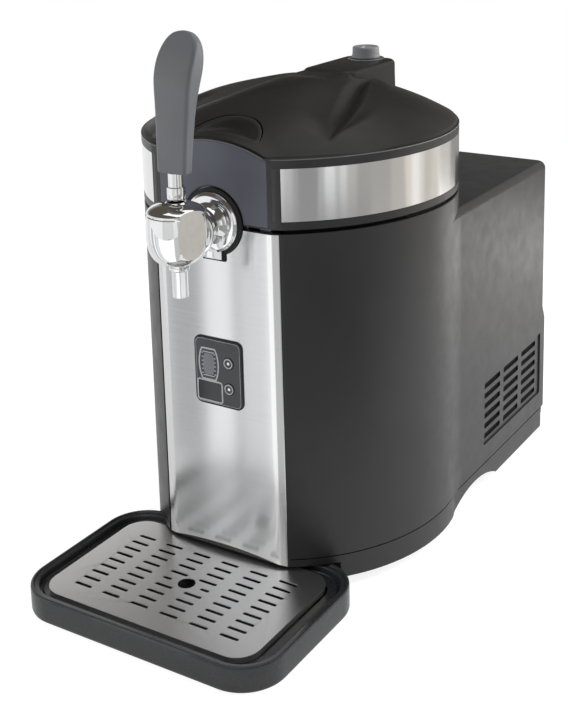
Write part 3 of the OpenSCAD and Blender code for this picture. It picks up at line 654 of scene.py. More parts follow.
def makeHousing():
    # box behind the dome that carries the knob: rounded shoulders, hollow underneath
    half, corner = housing["half"], housing["corner"]
    levels = [(0.6, housing["foot"]), (0, housing["top"] - housing["edge"] - 8)]
    for i in range(7):
        turn = math.radians(90 * i / 6)
        levels.append((-housing["edge"] * (1 - math.cos(turn)),
                       housing["top"] - housing["edge"] * (1 - math.sin(turn))))
    rings = [[(x, y, z) for x, y in roundedOutline(-half - g, half + g, housing["front"] - g,
                                                   housing["back"] + g, corner + g)]
             for g, z in levels]
    count = len(rings[0])
    wall = housing["wall"]
    inside = [[(x, y, z)
               for x, y in roundedOutline(-half + wall, half - wall, housing["front"] + wall,
                                          housing["back"] - wall, corner - wall)]
              for z in (housing["top"] - wall, housing["foot"])]
    points, faces = joinRings(rings + inside)
    top = (len(rings) - 1) * count
    under = top + count
    last = under + count
    # no wall between the top of the outside and the top of the inside: each has its own cover
    faces = [f for f in faces if f[0] // count != len(rings) - 1]
    faces += [tuple(range(top, under)), tuple(range(under, last))[::-1]]
    faces += [(last + i, last + (i + 1) % count, (i + 1) % count, i) for i in range(count)]
    makePiece("lidHousing", (points, faces), "head", "lid_plastic")


button = {"radius": 36, "centre": -128, "front": -123.4, "depth": 5.5, "rim": 3.0, "sink": 0.9,
          "foot": 367.6, "dish": (0.9, 1.8, 3.0, 4.0, 5.0, 6.2, 7.6, 9.0), "middle": (0, -109),
          "shares": (0.85, 0.68, 0.5, 0.32, 0.15)}


def buttonOutline(grow, steps=44, frontSteps=24, corner=3.0):
    # half moon with its straight side to the front and small rounded ends
    radius, front = button["radius"] + grow, button["front"] - grow
    corner += grow
    inner = radius - corner
    cy = front + corner
    cx = math.sqrt(inner ** 2 - (cy - button["centre"]) ** 2)
    turn = math.atan2(cy - button["centre"], cx)
    points = [(-cx + 2 * cx * i / frontSteps, front) for i in range(frontSteps)]
    points += [(cx + corner * math.cos(a), cy + corner * math.sin(a))
               for a in (math.radians(-90) + (turn + math.radians(90)) * i / 8 for i in range(8))]
    points += [(radius * math.cos(a), button["centre"] + radius * math.sin(a))
               for a in (turn + (math.pi - 2 * turn) * i / steps for i in range(steps))]
    points += [(-cx + corner * math.cos(a), cy + corner * math.sin(a))
               for a in (math.pi - turn + (turn + math.radians(90)) * i / 8 for i in range(8))]
    return points


def buttonHeight(x, y, inward):
    # follows the lid, with a finger dish inside a raised rim and a bar along the front
    dish = easeStep((inward - button["rim"]) / 9.0)
    slope = 0.55 + 0.45 * easeStep((y + 122) / 20)
    return lidHeight(x, y) - button["sink"] - button["depth"] * dish * slope


def makeButton():
    rings = [[(x, y, button["foot"]) for x, y in buttonOutline(0)],
             [(x, y, lidHeight(x, y) - button["sink"] - 1.0) for x, y in buttonOutline(0)],
             [(x, y, lidHeight(x, y) - button["sink"] - 0.3) for x, y in buttonOutline(-0.3)]]
    for inward in button["dish"]:
        rings.append([(x, y, buttonHeight(x, y, inward))
                      for x, y in buttonOutline(-inward, corner=3.0 + inward * 0.4)])
    count, middle, last = len(rings[0]), button["middle"], rings[-1]
    for share in button["shares"]:
        ring = []
        for x, y, z in last:
            px, py = middle[0] + (x - middle[0]) * share, middle[1] + (y - middle[1]) * share
            ring.append((px, py, buttonHeight(px, py, 9 + (1 - share) * 8)))
        rings.append(ring)
    points, faces = joinRings(rings)
    fillMiddle(points, faces, count, (len(rings) - 1) * count, (*middle, buttonHeight(*middle, 20)))
    faces.append(tuple(range(count))[::-1])
    # light bead round the button's rim: a painted highlight
    rim = [(x, y, lidHeight(x, y) - button["sink"] - 0.1) for x, y in buttonOutline(-1.0)]
    makeBead("buttonBead", rim + rim[:2], 0.42, "release", "ridge_highlight_grey")
    makePiece("releaseButton", (points, faces), "release", "lid_plastic", ["release_button"],
              sharp=45)


knob = {"y": 112, "ridges": 40, "ridge": 0.14, "ridged": (406.7, 412.8), "mark": (413.6, 414.25),
        "profile": [(4.0, 403.7), (12.6, 403.7), (13.2, 404.2), (13.2, 405.8), (12.8, 406.4),
                    (12.7, 406.8), (12.5, 410.0), (12.4, 412.7), (12.1, 413.6), (11.4, 414.2),
                    (10.4, 414.4), (9.9, 414.2), (9.4, 413.9), (0.5, 413.9)]}


def makeKnob():
    steps, rings = knob["ridges"] * 6, []
    for r, z in knob["profile"]:
        deep = knob["ridge"] if knob["ridged"][0] <= z <= knob["ridged"][1] else 0
        ring = []
        for i in range(steps):
            turn = 2 * math.pi * i / steps
            reach = r - deep * (0.5 - 0.5 * math.cos(turn * knob["ridges"]))
            ring.append((reach * math.cos(turn), knob["y"] + reach * math.sin(turn), z))
        rings.append(ring)
    makePiece("pressureKnob", capped(rings), "pressure_knob", "knob_grey", ["regulator_knob"],
              sharp=50)
    mark = roundedOutline(-0.7, 0.7, knob["y"] - 8.6, knob["y"] - 2.6, 0.6, 4)
    makePiece("knobMark", capped([[(x, y, z) for x, y in mark] for z in knob["mark"]]),
              "pressure_knob", "knob_grey", look="mark_grey", sharp=50)


makeLid()
makeHousing()
makeButton()
makeKnob()
print("lid made")


# fascia plate on the front of the ring, with a rib in the margin at each side

fascia = {"half": 51.6, "low": 309.2, "arch": 117.2, "archCentre": 256, "tapHole": 28.9,
          "front": 136.45, "back": 134.8, "edge": 0.8, "ribCentre": 57.3, "ribHalf": 2.1,
          "ribLow": 314.5, "ribHigh": 357.5}


def fasciaLoop(grow):
    # outline in x and z: foot, side, arch and the round cut over the tap
    half, low = fascia["half"] + grow, fascia["low"] - grow
    arch, hole = fascia["arch"] + grow, fascia["tapHole"] - grow
    side = min(fascia["archCentre"] + math.sqrt(arch ** 2 - half ** 2), lid["lip"] + 0.2 + grow)
    reach = min(math.sqrt(arch ** 2 - (side - fascia["archCentre"]) ** 2), half)
    foot = math.sqrt(hole ** 2 - (low - tapHeight) ** 2)
    points = [(foot + (half - foot) * i / 6, low) for i in range(6)]
    points += [(half, low + (side - low) * i / 10) for i in range(10)]
    points += [(half + (reach - half) * i / 3, side) for i in range(3)]
    start = math.atan2(side - fascia["archCentre"], reach)
    points += [(arch * math.cos(a), fascia["archCentre"] + arch * math.sin(a))
               for a in (start + (math.pi - 2 * start) * i / 60 for i in range(60))]
    points += [(-reach + (reach - half) * i / 3, side) for i in range(3)]
    points += [(-half, side + (low - side) * i / 10) for i in range(10)]
    points += [(-half + (half - foot) * i / 6, low) for i in range(6)]
    end = math.atan2(low - tapHeight, foot)
    points += [(hole * math.cos(a), tapHeight + hole * math.sin(a))
               for a in (math.pi - end + (2 * end - math.pi) * i / 40 for i in range(40))]
    return points


def makeFascia():
    edge, rings = fascia["edge"], []
    for turn in (0, 30, 60, 90):
        a = math.radians(turn)
        rings.append([(x, -fascia["front"] + edge * (1 - math.sin(a)), z)
                      for x, z in fasciaLoop(-edge * (1 - math.cos(a)))])
    rings.insert(0, [(x, -fascia["back"], z) for x, z in fasciaLoop(0)])
    makePiece("fasciaPlate", capped(rings), "head", "fascia_plastic", sharp=50)
    low, high, half, middle = (fascia[k] for k in ("ribLow", "ribHigh", "ribHalf", "ribCentre"))
    ends = [(low, 0.0), (low + 0.4, 0.7), (low + 1.2, 1.0), (high - 1.2, 1.0), (high - 0.4, 0.7),
            (high, 0.0)]
    for side in (-1, 1):
        rings = []
        for z, pinch in ends:
            ring = []
            for i in range(13):
                t = -1 + 2 * i / 12
                x = middle + half * t
                base = -drum["front"] + (x - drum["flat"]) * bevelSlope
                ring.append((side * x, base + 0.25 - pinch * 0.75 * math.sqrt(max(0, 1 - t * t)),
                             z))
            ring += [(side * (middle + half), ring[-1][1] + 0.8, z),
                     (side * (middle - half), ring[0][1] + 0.8, z)]
            rings.append(ring)
        # the ribs are real ridges; their lighter grey is a painted highlight
        makePiece("marginRib" + ("Left" if side < 0 else "Right"), capped(rings), "head",
                  "black_plastic", look="ridge_highlight_grey", sharp=50)


def makeHighlightBeads():
    # light grey bead along the fascia's arch and one round the ring under the lid's rim: painted
    # highlights on those edges
    arch, half = fascia["arch"] + 0.35, fascia["half"]
    start = math.acos(half / arch)
    path = [(arch * math.cos(a), -fascia["front"] + 0.45, fascia["archCentre"] + arch * math.sin(a))
            for a in (start + (math.pi - 2 * start) * i / 70 for i in range(71))]
    makeBead("archTrim", path, 0.5, "head", "painted_edge_highlight")
    rim = [(x, y, lid["lip"] - 0.5) for x, y in drumOutline(-0.3)]
    first = next(i for i, p in enumerate(rim) if p[0] > half + 1)
    last = max(i for i, p in enumerate(rim) if p[0] < -half - 1)
    makeBead("rimTrim", rim[first:last + 1], 0.5, "head", "painted_edge_highlight")


makeFascia()
makeHighlightBeads()


# paddle handle

# rows: height, half width, front y, back y
handle = {
    "rows": [(358.0, 13.3, -187.6, -176.8), (362.7, 13.7, -187.4, -176.7),
             (382.4, 14.5, -186.1, -174.7), (401.2, 15.4, -184.8, -172.3),
             (412.5, 16.1, -184.2, -170.3), (423.7, 17.0, -183.5, -167.3),
             (431.0, 17.6, -182.3, -164.7), (440.3, 17.8, -179.0, -162.4),
             (447.3, 17.5, -175.2, -161.5), (452.5, 16.4, -172.0, -161.2),
             (457.0, 14.2, -169.3, -161.2), (460.2, 11.2, -167.6, -161.5),
             (461.6, 8.6, -166.7, -161.9), (462.5, 5.6, -165.9, -162.5),
             (463.0, 2.2, -165.1, -163.3)],
    "round": 3.1, "steps": 5, "pitch": 3.2,
    # insets of the lowest rings, and heights of the rings near the top
    "footRound": [(0, 1.0), (0.35, 0.35), (1.0, 0)],
    "tip": [452.5, 454.8, 457.0, 458.8, 460.2, 461.0, 461.6, 462.1, 462.5, 462.8, 463.0],
}


def interpolate(rows, z):
    for low, high in zip(rows, rows[1:]):
        if z <= high[0]:
            t = (z - low[0]) / (high[0] - low[0])
            return [a + (b - a) * t for a, b in zip(low, high)]
    return list(rows[-1])


def makeHandle():
    rows = handle["rows"]
    foot = rows[0][0]
    levels = [(foot + up, shrink) for up, shrink in handle["footRound"]]
    z = foot + 4
    while z < 450:
        levels.append((z, 0))
        z += handle["pitch"]
    levels += [(z, 0) for z in handle["tip"]]
    rings = []
    for z, shrink in levels:
        _, half, front, back = interpolate(rows, z)
        radius = min(handle["round"], (back - front) / 2 - 0.05, half - 0.05)
        ring = [(x, y, z) for x, y in roundedOutline(-half + shrink, half - shrink, front + shrink,
                                                     back - shrink, max(0.5, radius - shrink),
                                                     handle["steps"])]
        rings.append(ring)
    # soften each column of points along the height
    for _ in range(2):
        smooth = [list(r) for r in rings]
        for n in range(4, len(rings) - 1):
            for i in range(len(rings[n])):
                smooth[n][i] = tuple((a + 2 * b + c) / 4
                                     for a, b, c in zip(rings[n - 1][i], rings[n][i],
                                                        rings[n + 1][i]))
        rings = smooth
    count = len(rings[0])
    points, faces = joinRings(rings)
    tip = [sum(p[k] for p in rings[-1]) / count for k in range(3)]
    fillMiddle(points, faces, count, (len(rings) - 1) * count, (tip[0], tip[1], tip[2] + 0.25))
    faces.append(tuple(range(count))[::-1])
    makePiece("paddleHandle", (points, faces), "lever", "handle_grey", ["tap_handle"], sharp=60)


makeHandle()
print("fascia and handle made")


# shell: drum and rear box in one moulding

shell = {"wall": 3.0, "foot": 28.6, "rim": 304.6, "top": 290, "boxHalf": 131, "boxBack": 247,
         "boxCorner": 10, "boxRound": 7, "rimRound": 0.7, "blend": 4.0, "blendEnd": 48, "step": 6,
         "stepLow": 125, "stepHigh": 138,
         # seat of the front panel in plan; openings and recesses: left, right, lowest, highest
         "seat": [(60.7, -160), (60.7, -132.0), (53, -134.7), (-53, -134.7), (-60.7, -132.0),
                  (-60.7, -160)],
         "tapOpening": (-12.5, 12.5, 275, 335), "keyOpening": (-20, 20, 152, 208),
         "coverSeat": (-112, 112, 23.6, 114),
         "coverRecess": (-126.5, 126.5, 16.6, 122.5, 5), "vent": (95, 234, 47, 112),
         "ventDeep": 1.5, "ventRound": 3.0, "shadeSheetMargin": 1.5, "slotColumns": (100, 144, 188),
         "slotLength": 36, "slotFirst": 51.5, "slotPitch": 10, "slotHigh": 5.5, "slotRows": 6,
         "slotRound": 1.6}


def roundedLevels(low, high, radius, steps=6):
    # heights and insets of a wall that is rounded over at its top
    turns = [math.radians(90 * i / steps) for i in range(steps + 1)]
    return [(0.0, low)] + [(radius * (1 - math.cos(a)), high - radius * (1 - math.sin(a)))
                           for a in turns]


def boxOutline(inset, back=None):
    # the sides leave the drum in a soft blend
    half, corner, blend = shell["boxHalf"], max(1.0, shell["boxCorner"] - inset), shell["blend"]
    back = (shell["boxBack"] if back is None else back) - inset
    sides = []
    for i in range(25):
        y = shell["blendEnd"] * i / 24
        drumX = math.sqrt(drum["half"] ** 2 - y * y)
        share = min(1, max(0, 0.5 + (drumX - half) / (2 * blend)))
        sides.append((half * (1 - share) + drumX * share + blend * share * (1 - share) - inset, y))
    half -= inset
    points = list(sides)
    for cx, start in ((half - corner, 0), (-half + corner, 90)):
        points += [(cx + corner * math.cos(a), back - corner + corner * math.sin(a))
                   for a in (math.radians(start + 90 * i / 8) for i in range(9))]
    return points + [(-x, y) for x, y in reversed(sides)]


def makeShell():
    wall, foot, rim, top = (shell[k] for k in ("wall", "foot", "rim", "top"))
    back, step, stepLow, stepHigh = (shell[k] for k in ("boxBack", "step", "stepLow", "stepHigh"))
    levels = [(0.4, foot), (0, foot + 0.4)] + roundedLevels(foot + 1, rim, shell["rimRound"], 3)
    drumRings = [[(x, y, z) for x, y in drumOutline(-g)] for g, z in levels]
    # the lower rear stands out by a step with a sloping top
    levels = [(0.4, foot, step), (0, foot + 0.4, step), (0, stepLow - 1, step),
              (0, stepLow + 1, step - 0.5), (0, stepHigh - 1, 0.5), (0, stepHigh + 1, 0)]
    levels += [(g, z, 0) for g, z in roundedLevels(stepHigh + 2, top, shell["boxRound"], 7)]
    boxRings = [[(x, y, z) for x, y in boxOutline(g, back + out)] for g, z, out in levels]
    mesh = combine(asMesh(*capped(boxRings)), [cutter(drumRings)], "UNION")
    mesh = combine(mesh,
                   [upCutter(boxOutline(wall), foot - 5, top - wall),
                    upCutter(drumOutline(-wall), foot - 5, rim + 10)])
    cutters = [upCutter(shell["seat"], foot - 5, rim + 10),
               frontCutter(boxPoints(*shell["tapOpening"]), -150, -120),
               frontCutter(boxPoints(*shell["keyOpening"]), -150, -110),
               frontCutter(boxPoints(*shell["coverSeat"]), back - 10, back + 10),
               frontCutter(roundedOutline(*shell["coverRecess"]), back, back + 10)]
    y0, y1, z0, z1 = shell["vent"]
    for side in (-1, 1):
        face = side * shell["boxHalf"]
        cutters.append(sideCutter(roundedOutline(y0, y1, z0, z1, shell["ventRound"]),
                                  face - side * shell["ventDeep"], face + side * 5))
        for first in shell["slotColumns"]:
            for row in range(shell["slotRows"]):
                low = shell["slotFirst"] + row * shell["slotPitch"]
                slot = roundedOutline(first, first + shell["slotLength"], low,
                                      low + shell["slotHigh"], shell["slotRound"], 4)
                cutters.append(sideCutter(slot, face - side * 8, face + side * 3))
    mesh = combine(mesh, cutters)
    finishPiece("shell", mesh, "cabinet", "black_plastic", ["body_shell"], edge=0.35, sharp=32)
    for side in (-1, 1):
        # near-black sheet behind the slots: painted shade for the cabinet's dark inside
        inner, m = side * (shell["boxHalf"] - wall - 0.1), shell["shadeSheetMargin"]
        outline = roundedOutline(y0 + m, y1 - m, z0 + m, z1 - m, 2, 3)
        sheet = [[(x, y, z) for y, z in outline] for x in (inner, inner - side * 0.5)]
        makePiece("dustGauze" + ("Left" if side < 0 else "Right"), capped(sheet), "cabinet",
                  "black_plastic", look="gauze", sharp=50)


makeShell()
print("shell made")


# front panel: steel sheet with a soft bend along each side

panel = {"thick": 0.9, "flat": 52.5, "bend": 15.0, "top": 304.0, "arc": 404.7, "arcCentre": -378.2,
         "edge": 59.4, "hem": 1.05, "tapCut": 28.2, "notch": (-11, 11, 276, 306),
         "keyOpening": (-19, 19, 154, 207, 3)}


def panelSection(inset):
    # plan of the sheet's face from left to right, inset backwards
    front, radius, bendTurn = -drum["front"] + inset, panel["bend"], math.atan(bevelSlope)
    tangent = radius * math.tan(bendTurn / 2)
    centreX, centreY = panel["flat"] - tangent, front + radius
    half = [(centreX, front)]
    half += [(centreX + radius * math.sin(a), centreY - radius * math.cos(a))
             for a in (bendTurn * i / 6 for i in range(1, 7))]
    endX = panel["edge"] - inset * 0.6
    endY = front + (endX - panel["flat"]) * bevelSlope
    bentX, bentY = half[-1]
    half += [(bentX + (endX - bentX) * i / 4, bentY + (endY - bentY) * i / 4) for i in range(1, 5)]
    half += [(endX + 0.28 - inset * 0.2, endY + 0.35),
             (endX + 0.28 - inset * 0.5, endY + panel["hem"])]
    middle = [(panel["flat"] * (-1 + 2 * i / 12) * 0.94, front) for i in range(1, 12)]
    return [(-x, y) for x, y in reversed(half)] + middle + half


def makePanel():
    face, back = panelSection(0), panelSection(panel["thick"])
    loop = face + back[::-1]
    foot = [(x, y, panel["arcCentre"] + math.sqrt(panel["arc"] ** 2 - x * x)) for x, y in loop]
    mesh = asMesh(*capped([foot, [(x, y, panel["top"]) for x, y in loop]]))
    openings = [circleOutline(0, tapHeight, panel["tapCut"], 96), boxPoints(*panel["notch"]),
                roundedOutline(*panel["keyOpening"])]
    mesh = combine(mesh, [frontCutter(opening, -160, -120) for opening in openings])
    finishPiece("frontPanel", mesh, "cabinet", "brushed_steel", ["front_panel"], edge=0.18,
                sharp=25)


makePanel()
print("panel made")


# drip tray

tray = {
    "half": 119, "front": -265, "back": -109, "round": 36,
    # distance in from the outline and height, from the underside over the rim to the floor inside
    "profile": [(8, 0.9), (6, 0.8), (5.6, 0.1), (4.8, 0), (1.6, 0), (0.5, 0.4), (0.05, 1.6),
                (0, 3.0), (0, 19.4), (0.12, 20.1), (0.5, 20.7), (1.1, 21), (2.2, 21), (2.7, 20.8),
                (3.0, 20.3), (3.3, 19.9), (4.0, 19.8), (6.2, 19.7), (6.8, 19.4), (7.1, 18.8),
                (7.5, 16.2), (7.9, 15.2), (8.6, 14.9), (9.1, 15.0), (9.4, 15.7), (9.8, 16.0),
                (10.2, 15.7), (10.5, 15.0), (11.2, 14.8), (17.2, 14.8), (17.9, 14.5), (18.2, 13.8),
                (18.6, 3.6), (19.0, 2.8), (19.8, 2.4)],
}


def trayOutline(inset):
    return roundedOutline(-tray["half"] + inset, tray["half"] - inset, tray["front"] + inset,
                          tray["back"] - inset, tray["round"] - inset, 14)


def makeTray():
    rings = [[(x, y, z) for x, y in trayOutline(inset)] for inset, z in tray["profile"]]
    makePiece("dripTray", capped(rings), "tray", "gloss_black", ["drip_tray"], "tray_black",
              sharp=40)


makeTray()
print("tray made")


# control plate with its marks and keys

control = {
    "half": 23.5, "low": 151.5, "high": 210, "round": 6, "face": 137.6, "back": 134.2,
    "border": 1.7, "stroke": 1.3,
    "window": (-21.0, 3.4, 154.6, 172.2), "windowRim": 0.5,
    "barrelLow": 173.4, "barrelHigh": 200.0, "barrelMiddle": -9.2, "barrelHalf": 9.5,
    "barrelBulge": 1.9,
    "fillMiddle": 186.7, "hoops": (176.6, 196.9), "hoopHalf": 5.6, "dashes": 6, "dashLow": 178.2,
    "dashPitch": 3.5,
    "dashReach": 6.1, "dashHalf": 0.9, "keyX": 10.6, "keyHeights": (190.7, 168.5), "keyHole": 4.75,
    "keyMargin": 5.2,
    # turned parts of a key: radius, and distance behind the plate's face
    "key": [(2.2, 5.8), (2.2, 1.8), (4.3, 1.6), (4.4, 0.2), (4.4, -0.7), (4.25, -0.95), (3.9, -1.0),
            (3.3, -0.95), (2.9, -0.75), (1.6, -0.6), (0.4, -0.6)],
    "keyRing": [(3.35, -0.7), (3.35, -1.04), (3.6, -1.1), (4.1, -1.08), (4.3, -0.98), (4.3, -0.7)],
    "keyDot": [(1.25, -0.5), (1.25, -0.72), (1.0, -0.84), (0.3, -0.88)],
}


def makeStroke(name, line, width, proud, closed=True):
    # printed line as a thin raised ribbon along a path in x and z
    count, face = len(line), -control["face"]
    rings = [[], [], [], []]
    for i, (x, z) in enumerate(line):
        before = line[i - 1] if closed or i else line[i]
        after = line[(i + 1) % count] if closed or i < count - 1 else line[i]
        along = Vector((after[0] - before[0], after[1] - before[1])).normalized()
        off = Vector((-along.y, along.x)) * width / 2
        rings[0].append((x + off.x, face + 0.15, z + off.y))
        rings[1].append((x + off.x, face - proud, z + off.y))
        rings[2].append((x - off.x, face - proud, z - off.y))
        rings[3].append((x - off.x, face + 0.15, z - off.y))
    points = [p for ring in rings for p in ring]
    faces = []
    for k in range(4):
        here, beyond = k * count, (k + 1) % 4 * count
        for i in range(count if closed else count - 1):
            j = (i + 1) % count
            faces.append((here + i, here + j, beyond + j, beyond + i))
    if not closed:
        faces += [tuple(k * count for k in range(4)),
                  tuple(k * count + count - 1 for k in range(4))[::-1]]
    makePiece(name, (points, faces), "cabinet", "knob_grey", look="mark_grey", sharp=50)


def barrelOutline(grow, steps=12):
    # barrel with bulging sides, a rim at each end and slightly waisted shoulders
    low, high = control["barrelLow"] - grow, control["barrelHigh"] + grow
    half, bulge = control["barrelHalf"] + grow, control["barrelBulge"]
    middle, right = control["barrelMiddle"], []
    for i in range(steps + 1):
        t = -1 + 2 * i / steps
        right.append((half - bulge * t * t, (low + high) / 2 + t * ((high - low) / 2 - 2.4)))
    rim = half - bulge - 0.4
    right = [(rim - 1.4, low), (rim - 0.3, low + 0.5), (rim - 0.1, low + 1.6)] + right
    right += [(rim - 0.1, high - 1.6), (rim - 0.3, high - 0.5), (rim - 1.4, high)]
    return [(middle + x, z) for x, z in right] + [(middle - x, z) for x, z in reversed(right)]


def controlOutline(inset):
    half, low, high = control["half"] - inset, control["low"] + inset, control["high"] - inset
    return roundedOutline(-half, half, low, high, control["round"] - inset)


def barrelInside(inset):
    middle, height = control["barrelMiddle"], control["fillMiddle"]
    return [(middle + (x - middle) * (0.60 - inset * 0.02),
             height + (z - height) * (0.68 - inset * 0.01)) for x, z in barrelOutline(0)]


def makeControls():
    face, border, stroke = (control[k] for k in ("face", "border", "stroke"))
    middle = control["barrelMiddle"]
    x0, x1, z0, z1 = control["window"]
    rim, keyX, keyHeights = control["windowRim"], control["keyX"], control["keyHeights"]
    opening = roundedOutline(x0 + rim, x1 - rim, z0 + rim, z1 - rim, 1.2, 4)
    makePlate("controlPlate", controlOutline, face, control["back"], 0.7, "gloss_black",
              nodes=["control_bezel"],
              holes=[circleOutline(keyX, z, control["keyHole"], 40) for z in keyHeights]
              + [opening])
    makePlate("controlField", lambda inset: controlOutline(inset + border), face + 0.06, face - 0.3,
              0.05, "gloss_black", "slate",
              holes=[circleOutline(keyX, z, control["keyMargin"], 40) for z in keyHeights]
              + [opening])
    makeStroke("controlLine", controlOutline(border + 0.25), 0.28, 0.12)
    makeStroke("windowFrame", roundedOutline(x0, x1, z0, z1, 2.0, 5), stroke, 0.14)
    makeStroke("barrelMark", barrelOutline(0), stroke, 0.14)
    makePlate("barrelFill", barrelInside, face + 0.13, face - 0.2, 0.03, "knob_grey", "mark_dim")
    half = control["dashHalf"]
    for side in (-1, 1):
        for i in range(control["dashes"]):
            x = middle + side * control["dashReach"]
            z = control["dashLow"] + i * control["dashPitch"]
            name = f"levelDash{'Left' if side < 0 else 'Right'}{i}"
            makeStroke(name, [(x - half, z), (x + half, z)], 0.7, 0.15, closed=False)
    half = control["hoopHalf"]
    for z in control["hoops"]:
        makeStroke(f"barrelHoop{int(z)}", [(middle - half, z), (middle + half, z)], 0.8, 0.15,
                   closed=False)
    rows = {part: [(r, behind - face) for r, behind in control[part]]
            for part in ("key", "keyRing", "keyDot")}
    upper, lower = keyHeights
    for name, body, node, z in (("keyUp", "key_up", "button_up", upper),
                                ("keyDown", "key_down", "button_down", lower)):
        makePiece(name, capped(latheRings(rows["key"], keyX, z)), body, "button_black", [node],
                  "slate", sharp=50)
        makePiece(name + "Ring", looped(latheRings(rows["keyRing"], keyX, z)), body, "knob_grey",
                  look="mark_grey", sharp=60)
        makePiece(name + "Dot", capped(latheRings(rows["keyDot"], keyX, z, 24)), body, "knob_grey",
                  look="mark_white", sharp=60)


makeControls()
print("controls made")


# tap: bowl turned on one axis with flat cheeks, spout, nut, flange and collar of the lever

tap = {"axis": -181.5, "bowlAxis": -183.4, "cheek": 19.4, "cheekTurn": 15, "back": -164.4,
       "hole": 6.3, "cutLow": 270, "cutHigh": 345, "key": (-9, 9, 278, 300, 1.4), "keyFront": 139.7,
       "keyBack": 135.2,
       # rows of the turned parts: radius and height, for the nut and flange radius and y
       "bowl": [(5.0, 287.0), (9.0, 287.0), (12.0, 287.7), (15.2, 289.4), (18.2, 292.2),
                (20.6, 296.2), (22.2, 301.2), (23.1, 306.5), (23.4, 311.5), (23.3, 317.5),
                (22.9, 322.5), (22.4, 326.2), (21.8, 326.8), (21.8, 327.8), (22.4, 328.3),
                (22.3, 329.1), (20.6, 330.8), (17.4, 332.4), (13.0, 333.8), (8.0, 334.7),
                (4.0, 335.0)],
       "boss": [(9.9, 332.2), (9.9, 333.6), (9.2, 334.46), (8.6, 334.96), (8.0, 335.4),
                (7.4, 335.7), (7.4, 332.2)],
       "collar": [(2.9, 339.29), (4.8, 338.72), (6.4, 338.0), (6.85, 337.75), (7.0, 338.1),
                  (7.0, 345.6), (6.7, 346.5), (5.9, 347.0), (5.6, 347.6), (5.5, 356.8),
                  (5.1, 357.7), (2.9, 357.9)],
       "nut": [(9.7, -164.7), (15.0, -164.7), (18.8, -164.7), (19.6, -164.1), (19.8, -163.0),
               (19.6, -161.9), (18.8, -161.2), (15.6, -160.8), (14.6, -159.9), (13.0, -157.4),
               (12.3, -153.8), (12.2, -149.4), (13.2, -146.0), (15.6, -143.2), (17.0, -142.2),
               (9.7, -142.2)],
       "flange": [(9.7, -137.2), (24.0, -137.2), (24.6, -137.7), (24.6, -139.2), (24.2, -139.8),
                  (23.2, -140.1), (22.7, -140.8), (21.8, -141.3), (18.2, -142.0), (9.7, -142.3)],
       "spout": [(4.6, 260.3), (5.2, 260.0), (6.0, 260.0), (6.3, 260.4), (6.3, 280.9), (6.8, 281.6),
                 (7.7, 281.9), (8.0, 282.3), (8.0, 283.9), (7.7, 284.3), (6.7, 284.4), (6.7, 285.2),
                 (7.6, 285.4), (7.9, 285.8), (7.9, 287.0), (5.9, 287.9), (4.6, 287.9)]}


def keyOutline(inset):
    x0, x1, z0, z1, corner = tap["key"]
    return roundedOutline(x0 + inset, x1 - inset, z0 + inset, z1 - inset, corner - inset, 4)


def makeTap():
    bowl, axis, bowlAxis, reach = tap["bowl"], tap["axis"], tap["bowlAxis"], tap["cheek"]
    low, high = tap["cutLow"], tap["cutHigh"]
    profile = rounder(bowl[:12]) + bowl[12:14] + rounder(bowl[14:])
    right = turnedBox(reach, reach + 20, 45, bowlAxis, -tap["cheekTurn"])
    left = turnedBox(-reach - 20, -reach, 45, bowlAxis, tap["cheekTurn"])
    behind = boxPoints(-40, 40, tap["back"], -140)
    cutters = [upCutter(outline, low, high) for outline in (right, left, behind)]
    cutters.append(upCutter(circleOutline(0, axis, tap["hole"], 48), 300, high))
    mesh = combine(asMesh(*capped(turned(profile, bowlAxis))), cutters)
    finishPiece("tapBowl", mesh, "cabinet", "chrome", ["tap_body", "tap_cap"], edge=1.1, sharp=32)
    makePiece("tapBoss", looped(turned(tap["boss"], axis, 64)), "cabinet", "chrome", sharp=40)
    makePiece("leverCollar", looped(turned(tap["collar"], axis, 64)), "lever", "chrome", sharp=35)
    makePiece("tapSpout", looped(turned(tap["spout"], axis, 64)), "cabinet", "chrome",
              ["tap_spout"], sharp=40)
    makePiece("tapFlange", looped(latheRings(tap["flange"], 0, tapHeight, 120)), "cabinet",
              "chrome", ["tap_flange"], sharp=40)
    makePlate("tapKey", keyOutline, tap["keyFront"], tap["keyBack"], 0.6, "chrome")
    makePiece("tapNut", looped(latheRings(tap["nut"], 0, tapHeight, 96)), "cabinet", "chrome",
              ["tap_nut"], sharp=40)


makeTap()
print("tap made")


# floor, lamps and cards

# reach in metres; white share and lit share of the floor as the camera sees it, and where the
# lit share ends
floorSpec = {"reach": 40.0, "height": -0.0004, "white": 0.86, "lit": 0.25, "near": 0.55, "far": 1.6,
             "mirrored": 0.6, "albedo": 0.86}


def rayKind(tree, *kinds):
    path = addNode(tree, "ShaderNodeLightPath")
    value = path.outputs[kinds[0]]
    for kind in kinds[1:]:
        value = maths(tree, "MAXIMUM", value, path.outputs[kind])
    return value


def maths(tree, operation, first, second):
    return addNode(tree, "ShaderNodeMath", {0: first, 1: second}, operation=operation).outputs[0]


def openMaterial(name):
    # material with nothing on its output yet
    material, tree, shader = newMaterial(name)
    tree.nodes.remove(shader)
    output = [n for n in tree.nodes if n.type == "OUTPUT_MATERIAL"][0]
    return material, tree, output.inputs["Surface"]


